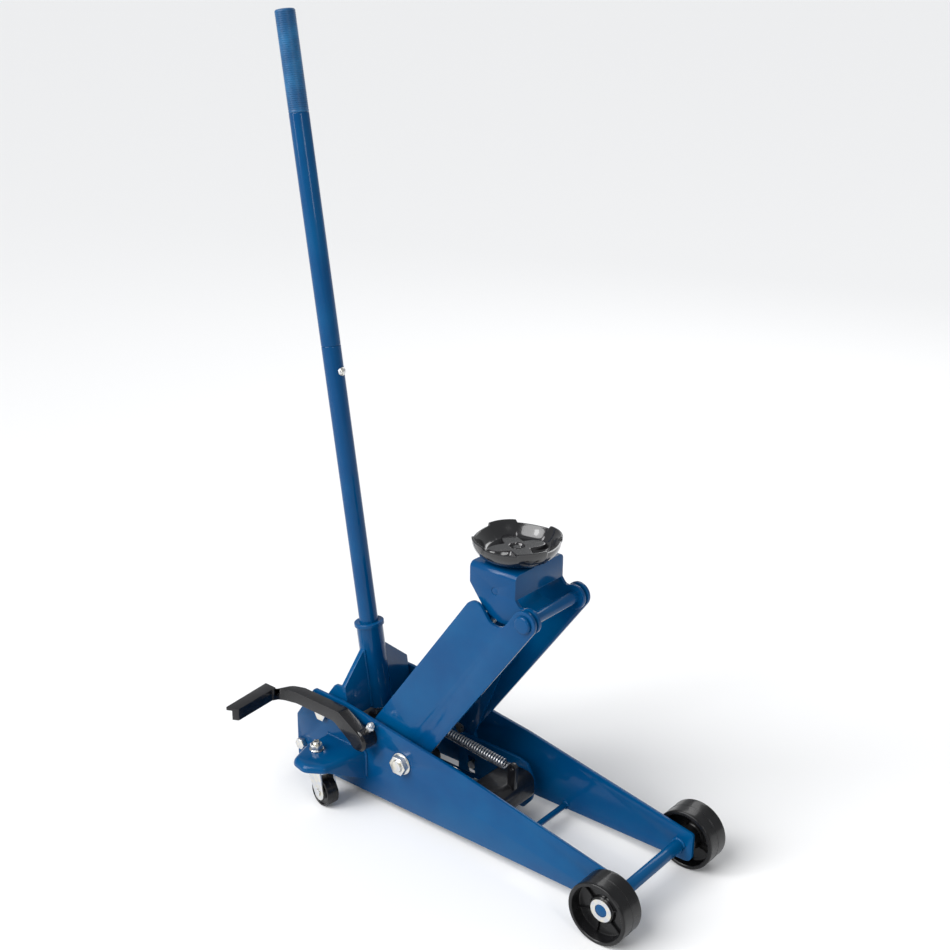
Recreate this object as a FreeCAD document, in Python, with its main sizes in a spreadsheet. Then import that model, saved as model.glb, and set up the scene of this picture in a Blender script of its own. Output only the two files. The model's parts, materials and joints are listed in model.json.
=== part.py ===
import FreeCAD, Part
import math
import os
from collections import namedtuple

import Sketcher

# A trolley jack in millimetres. +X points to the front wheels, +Y to the jack's left and +Z up; the origin is
# on the ground under the middle of the whole jack. Places are given from the front axle (X), the mid-plane (Y)
# and the ground (Z), and place() moves them to the origin.

SIZES = {
    # where the front axle and the mid-plane lie in the frame
    "axle_x": 351.5, "mid_y": 21,
    # fits
    "run_gap": 0.05, "hole_gap": 0.2, "free_gap": 0.3,
    # side plates
    "plate_outer": 88, "plate_gauge": 6, "plate_rear": -673, "plate_front": 24, "plate_top": 166,
    "plate_crown_rear": -629, "plate_crown_front": -560, "plate_rear_top": 102, "plate_rear_bottom": 11,
    "plate_knee_x": -300, "plate_knee_z": 134, "plate_nose_top": 77, "plate_nose_bottom": 27,
    # axle, wheels, brace and tie bolt
    "axle_radius": 10, "axle_height": 50, "axle_half": 128.5, "wheel_radius": 50, "wheel_width": 45,
    "wheel_outer": 141, "wheel_dish": 18.5, "hub_face": 126.5, "brace_x": -217, "brace_z": 28, "brace_radius": 5, "tie_x": -661, "tie_z": 49,
    "tie_radius": 6,
    # lift arm
    "pivot_x": -427, "pivot_z": 102, "pivot_radius": 10, "lift_angle": 54.5, "arm_length": 394.7,
    "arm_outer": 70.5, "arm_gauge": 6, "arm_lobe": 20.5, "arm_depth": 89.5, "arm_toe_in": 4.5,
    "arm_front": 353, "arm_rear": -7, "web_start": 20, "web_end": 265, "web_gauge": 6,
    "horn_reach_x": 33, "horn_reach_z": 56, "horn_outer": 64.5, "horn_gauge": 6, "horn_lobe": 15,
    "horn_pin_radius": 7, "saddle_pin_radius": 9.75, "pin_head_radius": 14, "pin_head_gauge": 6,
    # levelling link
    "link_back": 64, "link_rise": 30, "link_track": 38, "link_radius": 6, "link_eye": 11, "link_pin_radius": 6,
    # saddle bracket and saddle
    "ear_outer": 59.2, "ear_gauge": 6, "bracket_top": 488.6, "bracket_rear": -308, "bracket_front": -223,
    "bracket_bend": 9, "lip_drop": 39, "saddle_x": -267, "saddle_radius": 70, "saddle_rim": 524,
    "claw_height": 7, "claw_angle": 40, "saddle_turn": 59,
    "saddle_stem": 8,
    # power unit, ram and crosshead
    "unit_rear": -650, "unit_front": -520, "unit_half": 49, "unit_bottom": 14, "unit_top": 95, "ram_z": 50,
    "ram_radius": 18, "cylinder_radius": 32, "cylinder_front": -445, "ram_stroke": 68, "head_rear": -318,
    "head_front": -258, "head_half": 49.5, "head_bottom": 38, "head_top": 86, "hook_x": -265, "hook_z": 118,
    "side_link_outer": 56, "side_link_gauge": 6, "side_link_rear": -422, "side_link_bottom": 12,
    "side_link_top": 101, "slot_gap": 1.0, "spring_radius": 9, "spring_wire": 3, "post_front": -478,
    "post_half": 14, "post_top": 146,
    # handle yoke and pump
    "yoke_x": -609, "yoke_z": 127, "yoke_pin_radius": 8, "handle_lean": 9, "handle_offset": 50.6,
    "yoke_outer": 77, "yoke_gauge": 6, "yoke_corner": 52.7, "yoke_neck": 103, "yoke_neck_half": 20,
    "yoke_foot": -5, "yoke_flange": 25, "yoke_shoulder": 9, "socket_radius": 22.5, "socket_bottom": -7, "socket_top": 145,
    "pole_radius": 16, "pole_wall": 2.5, "pole_joint": 621.7, "pole_top": 1142, "grip_length": 154,
    "grip_gauge": 2.5, "cam_radius": 22, "cam_rest": 30, "roller_radius": 8.5, "roller_width": 9.6,
    "roller_pin": 4, "pump_y": -30, "pump_z": 106, "plunger_tip": 5, "plunger_radius": 8,
    "release_x": -557, "spindle_radius": 6, "spindle_top": 117,
    # casters
    "shelf_top": 92, "shelf_gauge": 5, "stem_x": -575, "stem_y": 137, "stem_radius": 6,
    "caster_trail": 23, "caster_yaw": 11, "caster_radius": 25, "caster_width": 22, "fork_gauge": 3,
    "fork_top": 80, "rivet_radius": 4,
    # foot pedal
    "pedal_x": -500, "pedal_z": 127, "pedal_hub": 18.5, "pedal_hub_outer": 119, "pedal_clear": 10, "pedal_shaft": 8,
    "pedal_bar": 21, "pedal_bar_top": 168, "pedal_bend_x": -640, "pedal_pad_x": -689, "pedal_tip": 231,
    "pedal_pad_width": 24, "pedal_wall": 4,
}

Lobe = namedtuple("Lobe", "x y radius")
NODES = []
doc = FreeCAD.newDocument("TrolleyJack")


class Size:
    """A value and the sheet expression that gives it; arithmetic on sizes keeps both."""

    def __init__(self, value, text):
        self.value = value
        self.text = text

    def __add__(self, other):
        return joined(self, "+", other, self.value + size(other).value)

    def __sub__(self, other):
        return joined(self, "-", other, self.value - size(other).value)

    def __mul__(self, other):
        return joined(self, "*", other, self.value * size(other).value)

    def __truediv__(self, other):
        return joined(self, "/", other, self.value / size(other).value)

    def __radd__(self, other):
        return size(other) + self

    def __rsub__(self, other):
        return size(other) - self

    def __rmul__(self, other):
        return size(other) * self

    def __neg__(self):
        return size(0) - self


def size(number):
    if isinstance(number, Size):
        return number
    return Size(float(number), f"({float(number)!r})")


def joined(left, sign, right, value):
    return Size(value, f"({left.text} {sign} {size(right).text})")


def sine(angle):
    return Size(math.sin(math.radians(angle.value)), f"sin({angle.text})")


def cosine(angle):
    return Size(math.cos(math.radians(angle.value)), f"cos({angle.text})")


class Sizes:
    """The sheet of driving sizes; each one is read as an attribute."""

    def __init__(self):
        self.sheet = doc.addObject("Spreadsheet::Sheet", "Sizes")
        for row, (name, value) in enumerate(SIZES.items(), start=1):
            self.sheet.set(f"A{row}", name.replace("_", " "))
            self.sheet.set(f"B{row}", str(value))
            self.sheet.setAlias(f"B{row}", name)
        doc.recompute()

    def __getattr__(self, name):
        return Size(float(SIZES[name]), f"Sizes.{name}")


s = Sizes()


def bind(thing, path, value):
    value = size(value)
    if "Sizes." in value.text:
        thing.setExpression(path, value.text)


def place(thing, x, y, z, turn=None):
    """Put a thing at x from the axle, y from the mid-plane and z above ground; turn is an axis and an angle."""
    where = [s.axle_x + x, s.mid_y + y, size(z)]
    rotation = FreeCAD.Rotation()
    if turn:
        rotation = FreeCAD.Rotation(FreeCAD.Vector(*turn[0]), size(turn[1]).value)
    thing.Placement = FreeCAD.Placement(FreeCAD.Vector(*(w.value for w in where)), rotation)
    for letter, value in zip("xyz", where):
        bind(thing, f"Placement.Base.{letter}", value)
    if turn:
        bind(thing, "Placement.Rotation.Angle", turn[1])
    return thing


def node(thing, name):
    thing.Label = name
    NODES.append(thing)
    return thing


# ---- sketches ----

def tangent_in(point, lobe):
    """Where a line from point meets a lobe that it leaves on its left."""
    way = math.atan2(lobe.y - point[1], lobe.x - point[0])
    way -= math.asin(lobe.radius / math.hypot(lobe.x - point[0], lobe.y - point[1]))
    return lobe.x + lobe.radius * math.sin(way), lobe.y - lobe.radius * math.cos(way)


def tangent_out(lobe, point):
    """Where a line to point leaves a lobe that it has on its left."""
    way = math.atan2(point[1] - lobe.y, point[0] - lobe.x)
    way += math.asin(lobe.radius / math.hypot(lobe.x - point[0], lobe.y - point[1]))
    return lobe.x + lobe.radius * math.sin(way), lobe.y - lobe.radius * math.cos(way)


def numbers(corner):
    if isinstance(corner, Lobe):
        return Lobe(*(size(c).value for c in corner))
    return tuple(size(c).value for c in corner)


def rounding(before, corner, after):
    """The tangent points, centre and turn direction of a rounded corner."""
    x, y, radius = corner
    back = FreeCAD.Vector(before[0] - x, before[1] - y, 0).normalize()
    ahead = FreeCAD.Vector(after[0] - x, after[1] - y, 0).normalize()
    half = back.getAngle(ahead) / 2
    middle = (back + ahead).normalize() * (radius / math.sin(half))
    run = radius / math.tan(half)
    start = (x + back.x * run, y + back.y * run)
    end = (x + ahead.x * run, y + ahead.y * run)
    left = (-back).cross(ahead).z > 0
    return start, end, (x + middle.x, y + middle.y), left


def arc(centre, radius, start, end):
    angles = [math.atan2(p[1] - centre[1], p[0] - centre[0]) for p in (start, end)]
    circle = Part.Circle(FreeCAD.Vector(*centre, 0), FreeCAD.Vector(0, 0, 1), radius)
    return Part.ArcOfCircle(circle, *angles)


class Outline:
    """Draws a closed outline, anticlockwise: corners (x, y), rounded corners (x, y, radius) and Lobes."""

    def __init__(self, sketch, corners):
        self.sketch = sketch
        self.rules = []
        self.bound = []
        plain = [numbers(corner) for corner in corners]
        count = len(plain)
        lines = []
        arcs = {}
        ends = [self.ends_of(plain[i - 1], plain[i], plain[(i + 1) % count]) for i in range(count)]
        for i in range(count):
            start, end = ends[i][1], ends[(i + 1) % count][0]
            line = Part.LineSegment(FreeCAD.Vector(*start, 0), FreeCAD.Vector(*end, 0))
            lines.append(sketch.addGeometry(line, False))
        for i in range(count):
            entry, exit_, centre, left = ends[i]
            if centre:
                first, last = (entry, exit_) if left else (exit_, entry)
                arcs[i] = sketch.addGeometry(arc(centre, plain[i][2], first, last), False)
        for i, corner in enumerate(corners):
            if i in arcs:
                self.join_arc(corner, lines[i - 1], arcs[i], lines[i], ends[i][3])
            else:
                self.rules.append(Sketcher.Constraint("Coincident", lines[i - 1], 2, lines[i], 1))
                self.fix(lines[i], 1, corner[0], corner[1])

    def ends_of(self, before, corner, after):
        before_point = tangent_out(before, corner) if isinstance(before, Lobe) else before[:2]
        after_point = tangent_in(corner, after) if isinstance(after, Lobe) else after[:2]
        if isinstance(corner, Lobe):
            return tangent_in(before, corner), tangent_out(corner, after), corner[:2], True
        if len(corner) == 3:
            return rounding(before_point, corner, after_point)
        return corner, corner, None, None

    def join_arc(self, corner, line_in, arc_id, line_out, left):
        first, last = (1, 2) if left else (2, 1)
        self.rules.append(Sketcher.Constraint("Tangent", line_in, 2, arc_id, first))
        self.rules.append(Sketcher.Constraint("Tangent", arc_id, last, line_out, 1))
        self.datum("Radius", (arc_id,), corner[2])
        if isinstance(corner, Lobe):
            self.fix(arc_id, 3, corner.x, corner.y)
            return
        x, y = (size(c).value for c in corner[:2])
        point = self.sketch.addGeometry(Part.Point(FreeCAD.Vector(x, y, 0)), True)
        self.fix(point, 1, corner[0], corner[1])
        for line in (line_in, line_out):
            self.rules.append(Sketcher.Constraint("PointOnObject", point, 1, line))

    def hole(self, x, y, radius):
        centre = FreeCAD.Vector(size(x).value, size(y).value, 0)
        circle = Part.Circle(centre, FreeCAD.Vector(0, 0, 1), size(radius).value)
        ring = self.sketch.addGeometry(circle, False)
        self.fix(ring, 3, x, y)
        self.datum("Radius", (ring,), radius)

    def fix(self, geometry, end, x, y):
        self.datum("DistanceX", (-1, 1, geometry, end), x)
        self.datum("DistanceY", (-1, 1, geometry, end), y)

    def datum(self, kind, where, value):
        self.bound.append((len(self.rules), value))
        self.rules.append(Sketcher.Constraint(kind, *where, size(value).value))

    def close(self):
        self.sketch.addConstraint(self.rules)
        for index, value in self.bound:
            bind(self.sketch, f"Constraints[{index}]", value)


def draw(sketch, corners, holes=()):
    outline = Outline(sketch, corners)
    for hole in holes:
        outline.hole(*hole)
    outline.close()
    return sketch


def body_sketch(body, plane, corners, holes=()):
    sketch = body.newObject("Sketcher::SketchObject", "Outline")
    support = next(f for f in body.Origin.OriginFeatures if f.Role == plane)
    sketch.AttachmentSupport = [(support, "")]
    sketch.MapMode = "FlatFace"
    return draw(sketch, corners, holes)


# ---- ways to make a piece ----

ARM = "arm"
YOKE = "yoke"
FRAMES = {
    ARM: (s.pivot_x, s.pivot_z, s.lift_angle),
    YOKE: (s.yoke_x, s.yoke_z, s.handle_lean),
    None: (0, 0, None),
}


def set_in(thing, frame, y, x=0, z=0):
    """Put a thing in the ground frame, or in the frame of the raised arm or of the leaning handle."""
    origin_x, origin_z, lean = FRAMES[frame]
    turn = ((0, -1, 0), lean) if lean is not None else None
    return place(thing, origin_x + size(x), y, origin_z + size(z), turn)


def pad(name, plane, corners, depth, holes=()):
    body = doc.addObject("PartDesign::Body", name)
    sketch = body_sketch(body, plane, corners, holes)
    feature = body.newObject("PartDesign::Pad", "Pad")
    feature.Profile = sketch
    feature.Length = size(depth).value
    bind(feature, "Length", depth)
    feature.Reversed = plane == "XZ_Plane"
    return body


def plate(name, corners, low, depth, holes=(), frame=None):
    """A plate with its outline in X and Z, from low towards +Y."""
    return set_in(pad(name, "XZ_Plane", corners, depth, holes), frame, low)


def side_plate(name, corners, side, outer, gauge, holes=(), frame=None):
    """A plate on one side of the mid-plane, with its outer face at outer."""
    low = outer - gauge if side > 0 else -outer
    return plate(name, corners, low, gauge, holes, frame)


def shelf(name, corners, low, depth, holes=()):
    """A level plate with its outline in X and Y, from low upwards."""
    return place(pad(name, "XY_Plane", corners, depth, holes), 0, 0, low)


def lathe(name, axis, profile):
    """A turned piece. The profile's corners are (radius, along)."""
    body = doc.addObject("PartDesign::Body", name)
    plane = {"X": "XZ_Plane", "Y": "XY_Plane", "Z": "XZ_Plane"}[axis]
    corners = [(along, radius) if axis == "X" else (radius, along) for radius, along in profile]
    sketch = body_sketch(body, plane, corners)
    feature = body.newObject("PartDesign::Revolution", "Revolution")
    feature.Profile = sketch
    feature.ReferenceAxis = (sketch, ["H_Axis" if axis == "X" else "V_Axis"])
    feature.Angle = 360
    return body


def ring(inner, outer, low, high):
    return [(inner, low), (outer, low), (outer, high), (inner, high)]


def box(name, x, y, z, frame=None):
    """A block between two X, two Y and two Z values."""
    block = doc.addObject("Part::Box", name)
    for path, span in zip(("Length", "Width", "Height"), (x, y, z)):
        extent = size(span[1]) - span[0]
        setattr(block, path, extent.value)
        bind(block, path, extent)
    if frame is None:
        return place(block, x[0], y[0], z[0])
    origin_x, origin_z, lean = FRAMES[frame]
    along_x = cosine(lean) * x[0] - sine(lean) * z[0]
    along_z = sine(lean) * x[0] + cosine(lean) * z[0]
    return place(block, origin_x + along_x, y[0], origin_z + along_z, ((0, -1, 0), lean))


def hexagon(name, across, low, high, x, z, axis="Y", y=0):
    """A hexagonal nut or head, across its flats, along Y or upright."""
    reach = size(across) / cosine(Size(30, "30"))
    corners = [(reach / 2 * math.cos(math.radians(a)), reach / 2 * math.sin(math.radians(a)))
               for a in range(0, 360, 60)]
    if axis == "Y":
        return place(pad(name, "XZ_Plane", corners, size(high) - low), x, low, z)
    return place(pad(name, "XY_Plane", corners, size(high) - low), x, y, low)


def fuse(name, things):
    joint = doc.addObject("Part::MultiFuse", name)
    joint.Shapes = things
    joint.Refine = True
    return joint


def cut(name, base, tool):
    piece = doc.addObject("Part::Cut", name)
    piece.Base = base
    piece.Tool = tool
    return piece


def common(name, base, tool):
    piece = doc.addObject("Part::Common", name)
    piece.Base = base
    piece.Tool = tool
    return piece


def group(name, things):
    bundle = doc.addObject("Part::Compound", name)
    bundle.Links = things
    return bundle


SIDES = (("right", -1), ("left", 1))


def span(side, near, far):
    """The low and high Y of a stretch from near to far on one side."""
    return (near, far) if side > 0 else (-size(far), -size(near))


def pin(name, radius, side, near, far, x, z):
    low, high = span(side, near, far)
    return place(lathe(name, "Y", ring(0, radius, low, high)), x, 0, z)


# ---- chassis ----

plate_inner = s.plate_outer - s.plate_gauge
wheel_inner = s.wheel_outer - s.wheel_width
ring_gap = s.free_gap


def chassis_plates():
    corners = [
        (s.plate_rear, s.plate_rear_bottom, 4), (s.plate_front, s.plate_nose_bottom, 12),
        (s.plate_front, s.plate_nose_top, 6), (s.plate_knee_x, s.plate_knee_z, 40),
        (s.plate_crown_front, s.plate_top, 40), (s.plate_crown_rear, s.plate_top, 6),
        (s.plate_rear, s.plate_rear_top, 8),
    ]
    holes = [
        (0, s.axle_height, s.axle_radius + s.hole_gap),
        (s.pivot_x, s.pivot_z, s.pivot_radius + s.hole_gap),
        (s.yoke_x, s.yoke_z, s.yoke_pin_radius + s.hole_gap),
        (s.tie_x, s.tie_z, s.tie_radius + s.hole_gap),
    ]
    shaft_hole = (s.pedal_x, s.pedal_z, s.pedal_shaft + s.run_gap)
    for side_name, side in SIDES:
        own = holes + [shaft_hole] if side < 0 else holes
        body = side_plate(f"{side_name}_side_plate", corners, side, s.plate_outer, s.plate_gauge, own)
        node(body, f"{side_name}_side_plate")


def axle_and_wheels():
    shaft = lathe("front_axle", "Y", ring(0, s.axle_radius, -s.axle_half, s.axle_half))
    node(place(shaft, 0, 0, s.axle_height), "front_axle")
    washers = []
    for side_name, side in SIDES:
        low, high = span(side, s.hub_face + ring_gap, s.hub_face + ring_gap + 2)
        profile = ring(s.axle_radius + s.hole_gap, s.axle_radius + 8, low, high)
        washers.append(place(lathe(f"{side_name}_washer", "Y", profile), 0, 0, s.axle_height))
        low, high = span(side, s.plate_outer, wheel_inner - ring_gap)
        profile = ring(s.axle_radius + s.hole_gap, s.axle_radius + 8, low, high)
        washers.append(place(lathe(f"{side_name}_spacer", "Y", profile), 0, 0, s.axle_height))
        node(front_wheel(side_name, side), f"{side_name}_front_wheel")
    node(group("axle_washers", washers), "axle_washers")


def front_wheel(side_name, side):
    """A cast wheel: a crowned tread and a dished web between its rim and its hub, on both faces."""
    bore = s.axle_radius + s.run_gap
    hub = s.axle_radius + 11
    rim = s.wheel_radius - 9
    dish = s.wheel_dish
    near, far = side * wheel_inner, side * s.wheel_outer
    profile = [
        (bore, near), (hub, near), (hub + 2, near + side * dish), (rim - 2, near + side * dish), (rim, near),
        (s.wheel_radius - 3, near), (s.wheel_radius, near + side * 5), (s.wheel_radius, far - side * 5),
        (s.wheel_radius - 3, far), (rim, far), (rim - 2, far - side * dish), (hub + 2, far - side * dish),
        (hub, side * s.hub_face), (bore, side * s.hub_face),
    ]
    return place(lathe(f"{side_name}_front_wheel", "Y", profile), 0, 0, s.axle_height)


def ties():
    brace = lathe("cross_brace", "Y", ring(0, s.brace_radius, -plate_inner, plate_inner))
    node(place(brace, s.brace_x, 0, s.brace_z), "cross_brace")
    reach = s.plate_outer
    bar = place(lathe("tie_bar", "Y", ring(0, s.tie_radius, -reach, reach)), s.tie_x, 0, s.tie_z)
    nuts = [hexagon("tie_nut", 18, *span(side, reach, reach + 9), s.tie_x, s.tie_z) for _, side in SIDES]
    node(fuse("rear_tie_bolt", [bar] + nuts), "rear_tie_bolt")


def caster_shelves():
    """A level shelf with a round outer lobe, and a lip along its front edge that tapers outwards."""
    root, lip_outer = s.plate_outer, s.stem_y + 34
    low = s.shelf_top - s.shelf_gauge
    hole = s.stem_radius + s.run_gap
    for side_name, side in SIDES:
        corners = [
            (s.stem_x + 68, side * root), (s.stem_x + 51, side * lip_outer, 8),
            (s.stem_x + 22, side * (s.stem_y + 53), 14), (s.stem_x - 12, side * (s.stem_y + 46), 16),
            (s.stem_x - 27, side * (s.stem_y + 6), 10), (s.stem_x - 27, side * root),
        ]
        holes = [(s.stem_x, side * s.stem_y, hole)]
        level = shelf(f"{side_name}_shelf", ordered(corners), low, s.shelf_gauge, holes)
        lip = shelf(f"{side_name}_lip", ordered([
            (s.stem_x + 68, side * root), (s.stem_x + 51, side * lip_outer),
            (s.stem_x + 46, side * lip_outer), (s.stem_x + 63, side * root),
        ]), low - 48, 48)
        taper = pad(f"{side_name}_taper", "YZ_Plane", ordered([
            (side * root, low - 60), (side * (lip_outer + 5), low - 60), (side * (lip_outer + 5), low - 8),
            (side * (root + 4), low - 48),
        ]), 60)
        place(taper, s.stem_x + 20, 0, 0)
        body = fuse(f"{side_name}_caster_bracket", [level, cut(f"{side_name}_lip_cut", lip, taper)])
        node(body, f"{side_name}_caster_bracket")


def ordered(corners):
    """The same corners anticlockwise."""
    flat = [numbers(corner) for corner in corners]
    area = sum(a[0] * b[1] - b[0] * a[1] for a, b in zip(flat, flat[1:] + flat[:1]))
    return corners if area > 0 else corners[::-1]


# ---- casters ----

def casters():
    """Each caster is made with its wheel straight ahead of the stem, then turned by its yaw."""
    fork_half = s.caster_width / 2 + s.free_gap
    axle_z = s.caster_radius
    for side_name, side in SIDES:
        turn = ((0, 0, 1), side * s.caster_yaw)

        def stand(thing):
            return place(thing, s.stem_x, side * s.stem_y, 0, turn)

        crown = pad(f"{side_name}_crown", "XY_Plane", [
            (-22, -fork_half - s.fork_gauge), (26, -fork_half - s.fork_gauge),
            (26, fork_half + s.fork_gauge), (-22, fork_half + s.fork_gauge),
        ], s.fork_gauge, [(0, 0, s.stem_radius + s.hole_gap)])
        place(crown, s.stem_x, side * s.stem_y, s.fork_top - s.fork_gauge, turn)
        cheeks = []
        for cheek_side in (-1, 1):
            low = span(cheek_side, fork_half, fork_half + s.fork_gauge)[0]
            cheek = pad("cheek", "XZ_Plane", [
                (-22, s.fork_top), Lobe(s.caster_trail + 1, axle_z, 13), (26, s.fork_top),
            ], s.fork_gauge, [(s.caster_trail, axle_z, s.rivet_radius + s.hole_gap)])
            x = s.stem_x - side * low * sine(s.caster_yaw)
            y = side * s.stem_y + low * cosine(s.caster_yaw)
            cheeks.append(place(cheek, x, y, 0, turn))
        node(fuse(f"{side_name}_caster_fork", [crown] + cheeks), f"{side_name}_caster_fork")
        node(stand(caster_stem(side_name)), f"{side_name}_caster_stem")
        wheel = lathe(f"{side_name}_caster_wheel", "Y", caster_profile())
        x = s.stem_x + s.caster_trail * cosine(s.caster_yaw)
        y = side * (s.stem_y + s.caster_trail * sine(s.caster_yaw))
        node(place(wheel, x, y, axle_z, turn), f"{side_name}_caster_wheel")
        reach = fork_half + s.fork_gauge
        profile = [
            (0, -reach - 2), (6, -reach - 2), (6, -reach), (s.rivet_radius, -reach), (s.rivet_radius, reach),
            (6, reach), (6, reach + 2), (0, reach + 2),
        ]
        rivet = lathe(f"{side_name}_caster_rivet", "Y", profile)
        node(place(rivet, x, y, axle_z, turn), f"{side_name}_caster_rivet")


def caster_stem(side_name):
    """The king bolt: a head under the crown, the bearing race under the shelf, and the nut on top."""
    race_low = s.fork_top
    race_high = s.shelf_top - s.shelf_gauge - s.free_gap
    nut_low = s.shelf_top + s.free_gap
    profile = [
        (0, s.fork_top - s.fork_gauge - 5), (10, s.fork_top - s.fork_gauge - 5),
        (10, s.fork_top - s.fork_gauge), (s.stem_radius, s.fork_top - s.fork_gauge), (s.stem_radius, race_low),
        (20, race_low), (20, race_high), (s.stem_radius, race_high), (s.stem_radius, nut_low),
        (12, nut_low), (12, nut_low + 2), (10.5, nut_low + 2), (10.5, nut_low + 11),
        (s.stem_radius, nut_low + 12), (s.stem_radius, nut_low + 16), (0, nut_low + 16),
    ]
    return lathe(f"{side_name}_caster_stem", "Z", profile)


def caster_profile():
    bore = s.rivet_radius + s.run_gap
    half = s.caster_width / 2
    return [
        (bore, -half), (11, -half), (13, -half + 3), (s.caster_radius - 5, -half + 3),
        (s.caster_radius - 2.5, -half + 1), (s.caster_radius, -half + 5), (s.caster_radius, half - 5),
        (s.caster_radius - 2.5, half - 1), (s.caster_radius - 5, half - 3), (13, half - 3), (11, half),
        (bore, half),
    ]


# ---- power unit, ram and crosshead ----

roller_x = s.yoke_x - s.cam_radius * sine(s.cam_rest)
roller_z = s.yoke_z - s.cam_radius * cosine(s.cam_rest)
plunger_back = roller_x + s.roller_radius + 0.5
plunger_collar = plunger_back + 13
boss_back = s.yoke_x + 46
boss_front = s.unit_front - 2
anchor_x = s.pivot_x - s.link_back
anchor_z = s.pivot_z + s.link_rise


def power_unit():
    """A casting with the ram's reservoir bore, the pump boss, the release bore, and lugs to both side plates."""
    half = s.unit_half
    block = plate("unit_block", [
        (s.unit_rear, s.unit_bottom, 8), (s.unit_front, s.unit_bottom, 4), (s.unit_front, s.unit_top, 10),
        (s.unit_rear, s.unit_top, 14),
    ], -half, half * 2)
    lugs = [
        box("lug", (x, x + 22), (-plate_inner, plate_inner), (s.unit_bottom, s.unit_bottom + 26))
        for x in (s.unit_rear + 12, s.unit_front - 30)
    ]
    boss = box("boss", (boss_back, boss_front), (s.pump_y - 10, s.pump_y + 10), (s.unit_top - 10, s.pump_z + 12))
    bores = [
        place(lathe("ram_bore", "X", ring(0, s.ram_radius + s.free_gap, s.unit_front - s.ram_stroke - 10,
                                          s.unit_front + 1)), 0, 0, s.ram_z),
        place(lathe("pump_bore", "X", ring(0, s.plunger_radius + s.run_gap, boss_back - 1, boss_front - 2)),
              0, s.pump_y, s.pump_z),
        place(lathe("release_bore", "Z", ring(0, s.spindle_radius + s.run_gap, s.unit_top - 14, s.unit_top + 1)),
              s.release_x, 0, 0),
    ]
    casting = fuse("unit_casting", [block, boss] + lugs)
    node(cut("power_unit", casting, fuse("unit_bores", bores)), "power_unit")


def ram_cylinder():
    """The cylinder, with the gland nut at its front end."""
    bore = s.ram_radius + s.run_gap
    front = s.cylinder_front
    profile = [
        (bore, s.unit_front), (s.cylinder_radius, s.unit_front), (s.cylinder_radius, front - 14),
        (s.cylinder_radius - 2, front - 14), (s.cylinder_radius - 2, front - 11),
        (s.cylinder_radius, front - 11), (s.cylinder_radius, front - 2), (s.cylinder_radius - 2, front),
        (bore, front),
    ]
    node(place(lathe("ram_cylinder", "X", profile), 0, 0, s.ram_z), "ram_cylinder")


def ram():
    profile = [
        (0, s.unit_front + 6), (s.ram_radius, s.unit_front + 6), (s.ram_radius, s.head_rear - 22),
        (s.ram_radius + 4, s.head_rear - 22), (s.ram_radius + 4, s.head_rear - 12),
        (s.ram_radius + 1, s.head_rear - 12), (s.ram_radius + 1, s.head_rear - 9),
        (s.ram_radius + 4, s.head_rear - 9), (s.ram_radius + 4, s.head_rear), (0, s.head_rear),
    ]
    node(place(lathe("ram", "X", profile), 0, 0, s.ram_z), "ram")


def crosshead():
    """The block that the ram pushes, with an eye on top for the return spring."""
    block = plate("head_block", [
        (s.head_rear, s.head_bottom, 3), (s.head_front, s.head_bottom, 14), (s.head_front, s.head_top, 18),
        (s.head_rear, s.head_top, 3),
    ], -s.head_half, s.head_half * 2)
    post = plate("head_eye", [
        (s.hook_x - 8, s.head_top - 6), (s.hook_x + 6, s.head_top - 6), Lobe(s.hook_x, s.hook_z, 8),
    ], -4, 8, [(s.hook_x, s.hook_z, 3.5)])
    node(fuse("crosshead", [block, post]), "crosshead")


horn_x = s.pivot_x + s.horn_reach_x
horn_z = s.pivot_z - s.horn_reach_z
horn_low_z = s.pivot_z - s.horn_reach_z - 9


def side_links():
    """The plates bolted to the crosshead; an upright slot lets the horn pin rise and fall as it swings."""
    nose = s.head_front - 3
    rear, low, high = s.side_link_rear, s.side_link_bottom, s.side_link_top
    corners = [
        (rear, low, 6), (nose - 19, low, 6), (nose - 2, low + 21, 20), (nose, low + 58, 20),
        (nose - 14, low + 84, 4), (nose - 34, high, 6), (rear, high, 8),
    ]
    half = s.horn_pin_radius + s.slot_gap
    slot = [
        (horn_x - half, horn_low_z - half, 3), (horn_x + half, horn_low_z - half, 3),
        (horn_x + half, horn_z + 9 + half, 3), (horn_x - half, horn_z + 9 + half, 3),
    ]
    bolts = []
    for side_name, side in SIDES:
        solid = side_plate(f"{side_name}_link_blank", corners, side, s.side_link_outer, s.side_link_gauge)
        tool = side_plate(f"{side_name}_link_slot", slot, side, s.side_link_outer + 1, s.side_link_gauge + 2)
        node(cut(f"{side_name}_side_link", solid, tool), f"{side_name}_side_link")
        for x in (s.head_rear + 14, s.head_front - 16):
            bolts.append(hexagon("link_bolt", 13, *span(side, s.side_link_outer, s.side_link_outer + 4),
                                 x, s.head_top - 22))
    node(group("link_bolts", bolts), "link_bolts")


def springs():
    """The return spring and the pump's spring, as tubes of their outer and inner diameters."""
    rise = s.post_top - 12 - s.hook_z
    back = s.post_front + 6
    front = s.hook_x - 12
    inner = s.spring_radius - s.spring_wire
    tube = lathe("return_spring", "X", ring(inner, s.spring_radius, 0, front - back))
    tilt = Size(math.degrees(math.atan2(rise.value, (front - back).value)), "0")
    slope = Size(tilt.value, f"atan({rise.text} / {(front - back).text}) / 1 deg")
    node(place(tube, back, 0, s.post_top - 12, ((0, 1, 0), slope)), "return_spring")
    coil = ring(s.plunger_radius + s.free_gap, s.plunger_radius + 2.3, plunger_collar + 3, boss_back)
    node(place(lathe("pump_spring", "X", coil), 0, s.pump_y, s.pump_z), "pump_spring")


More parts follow.
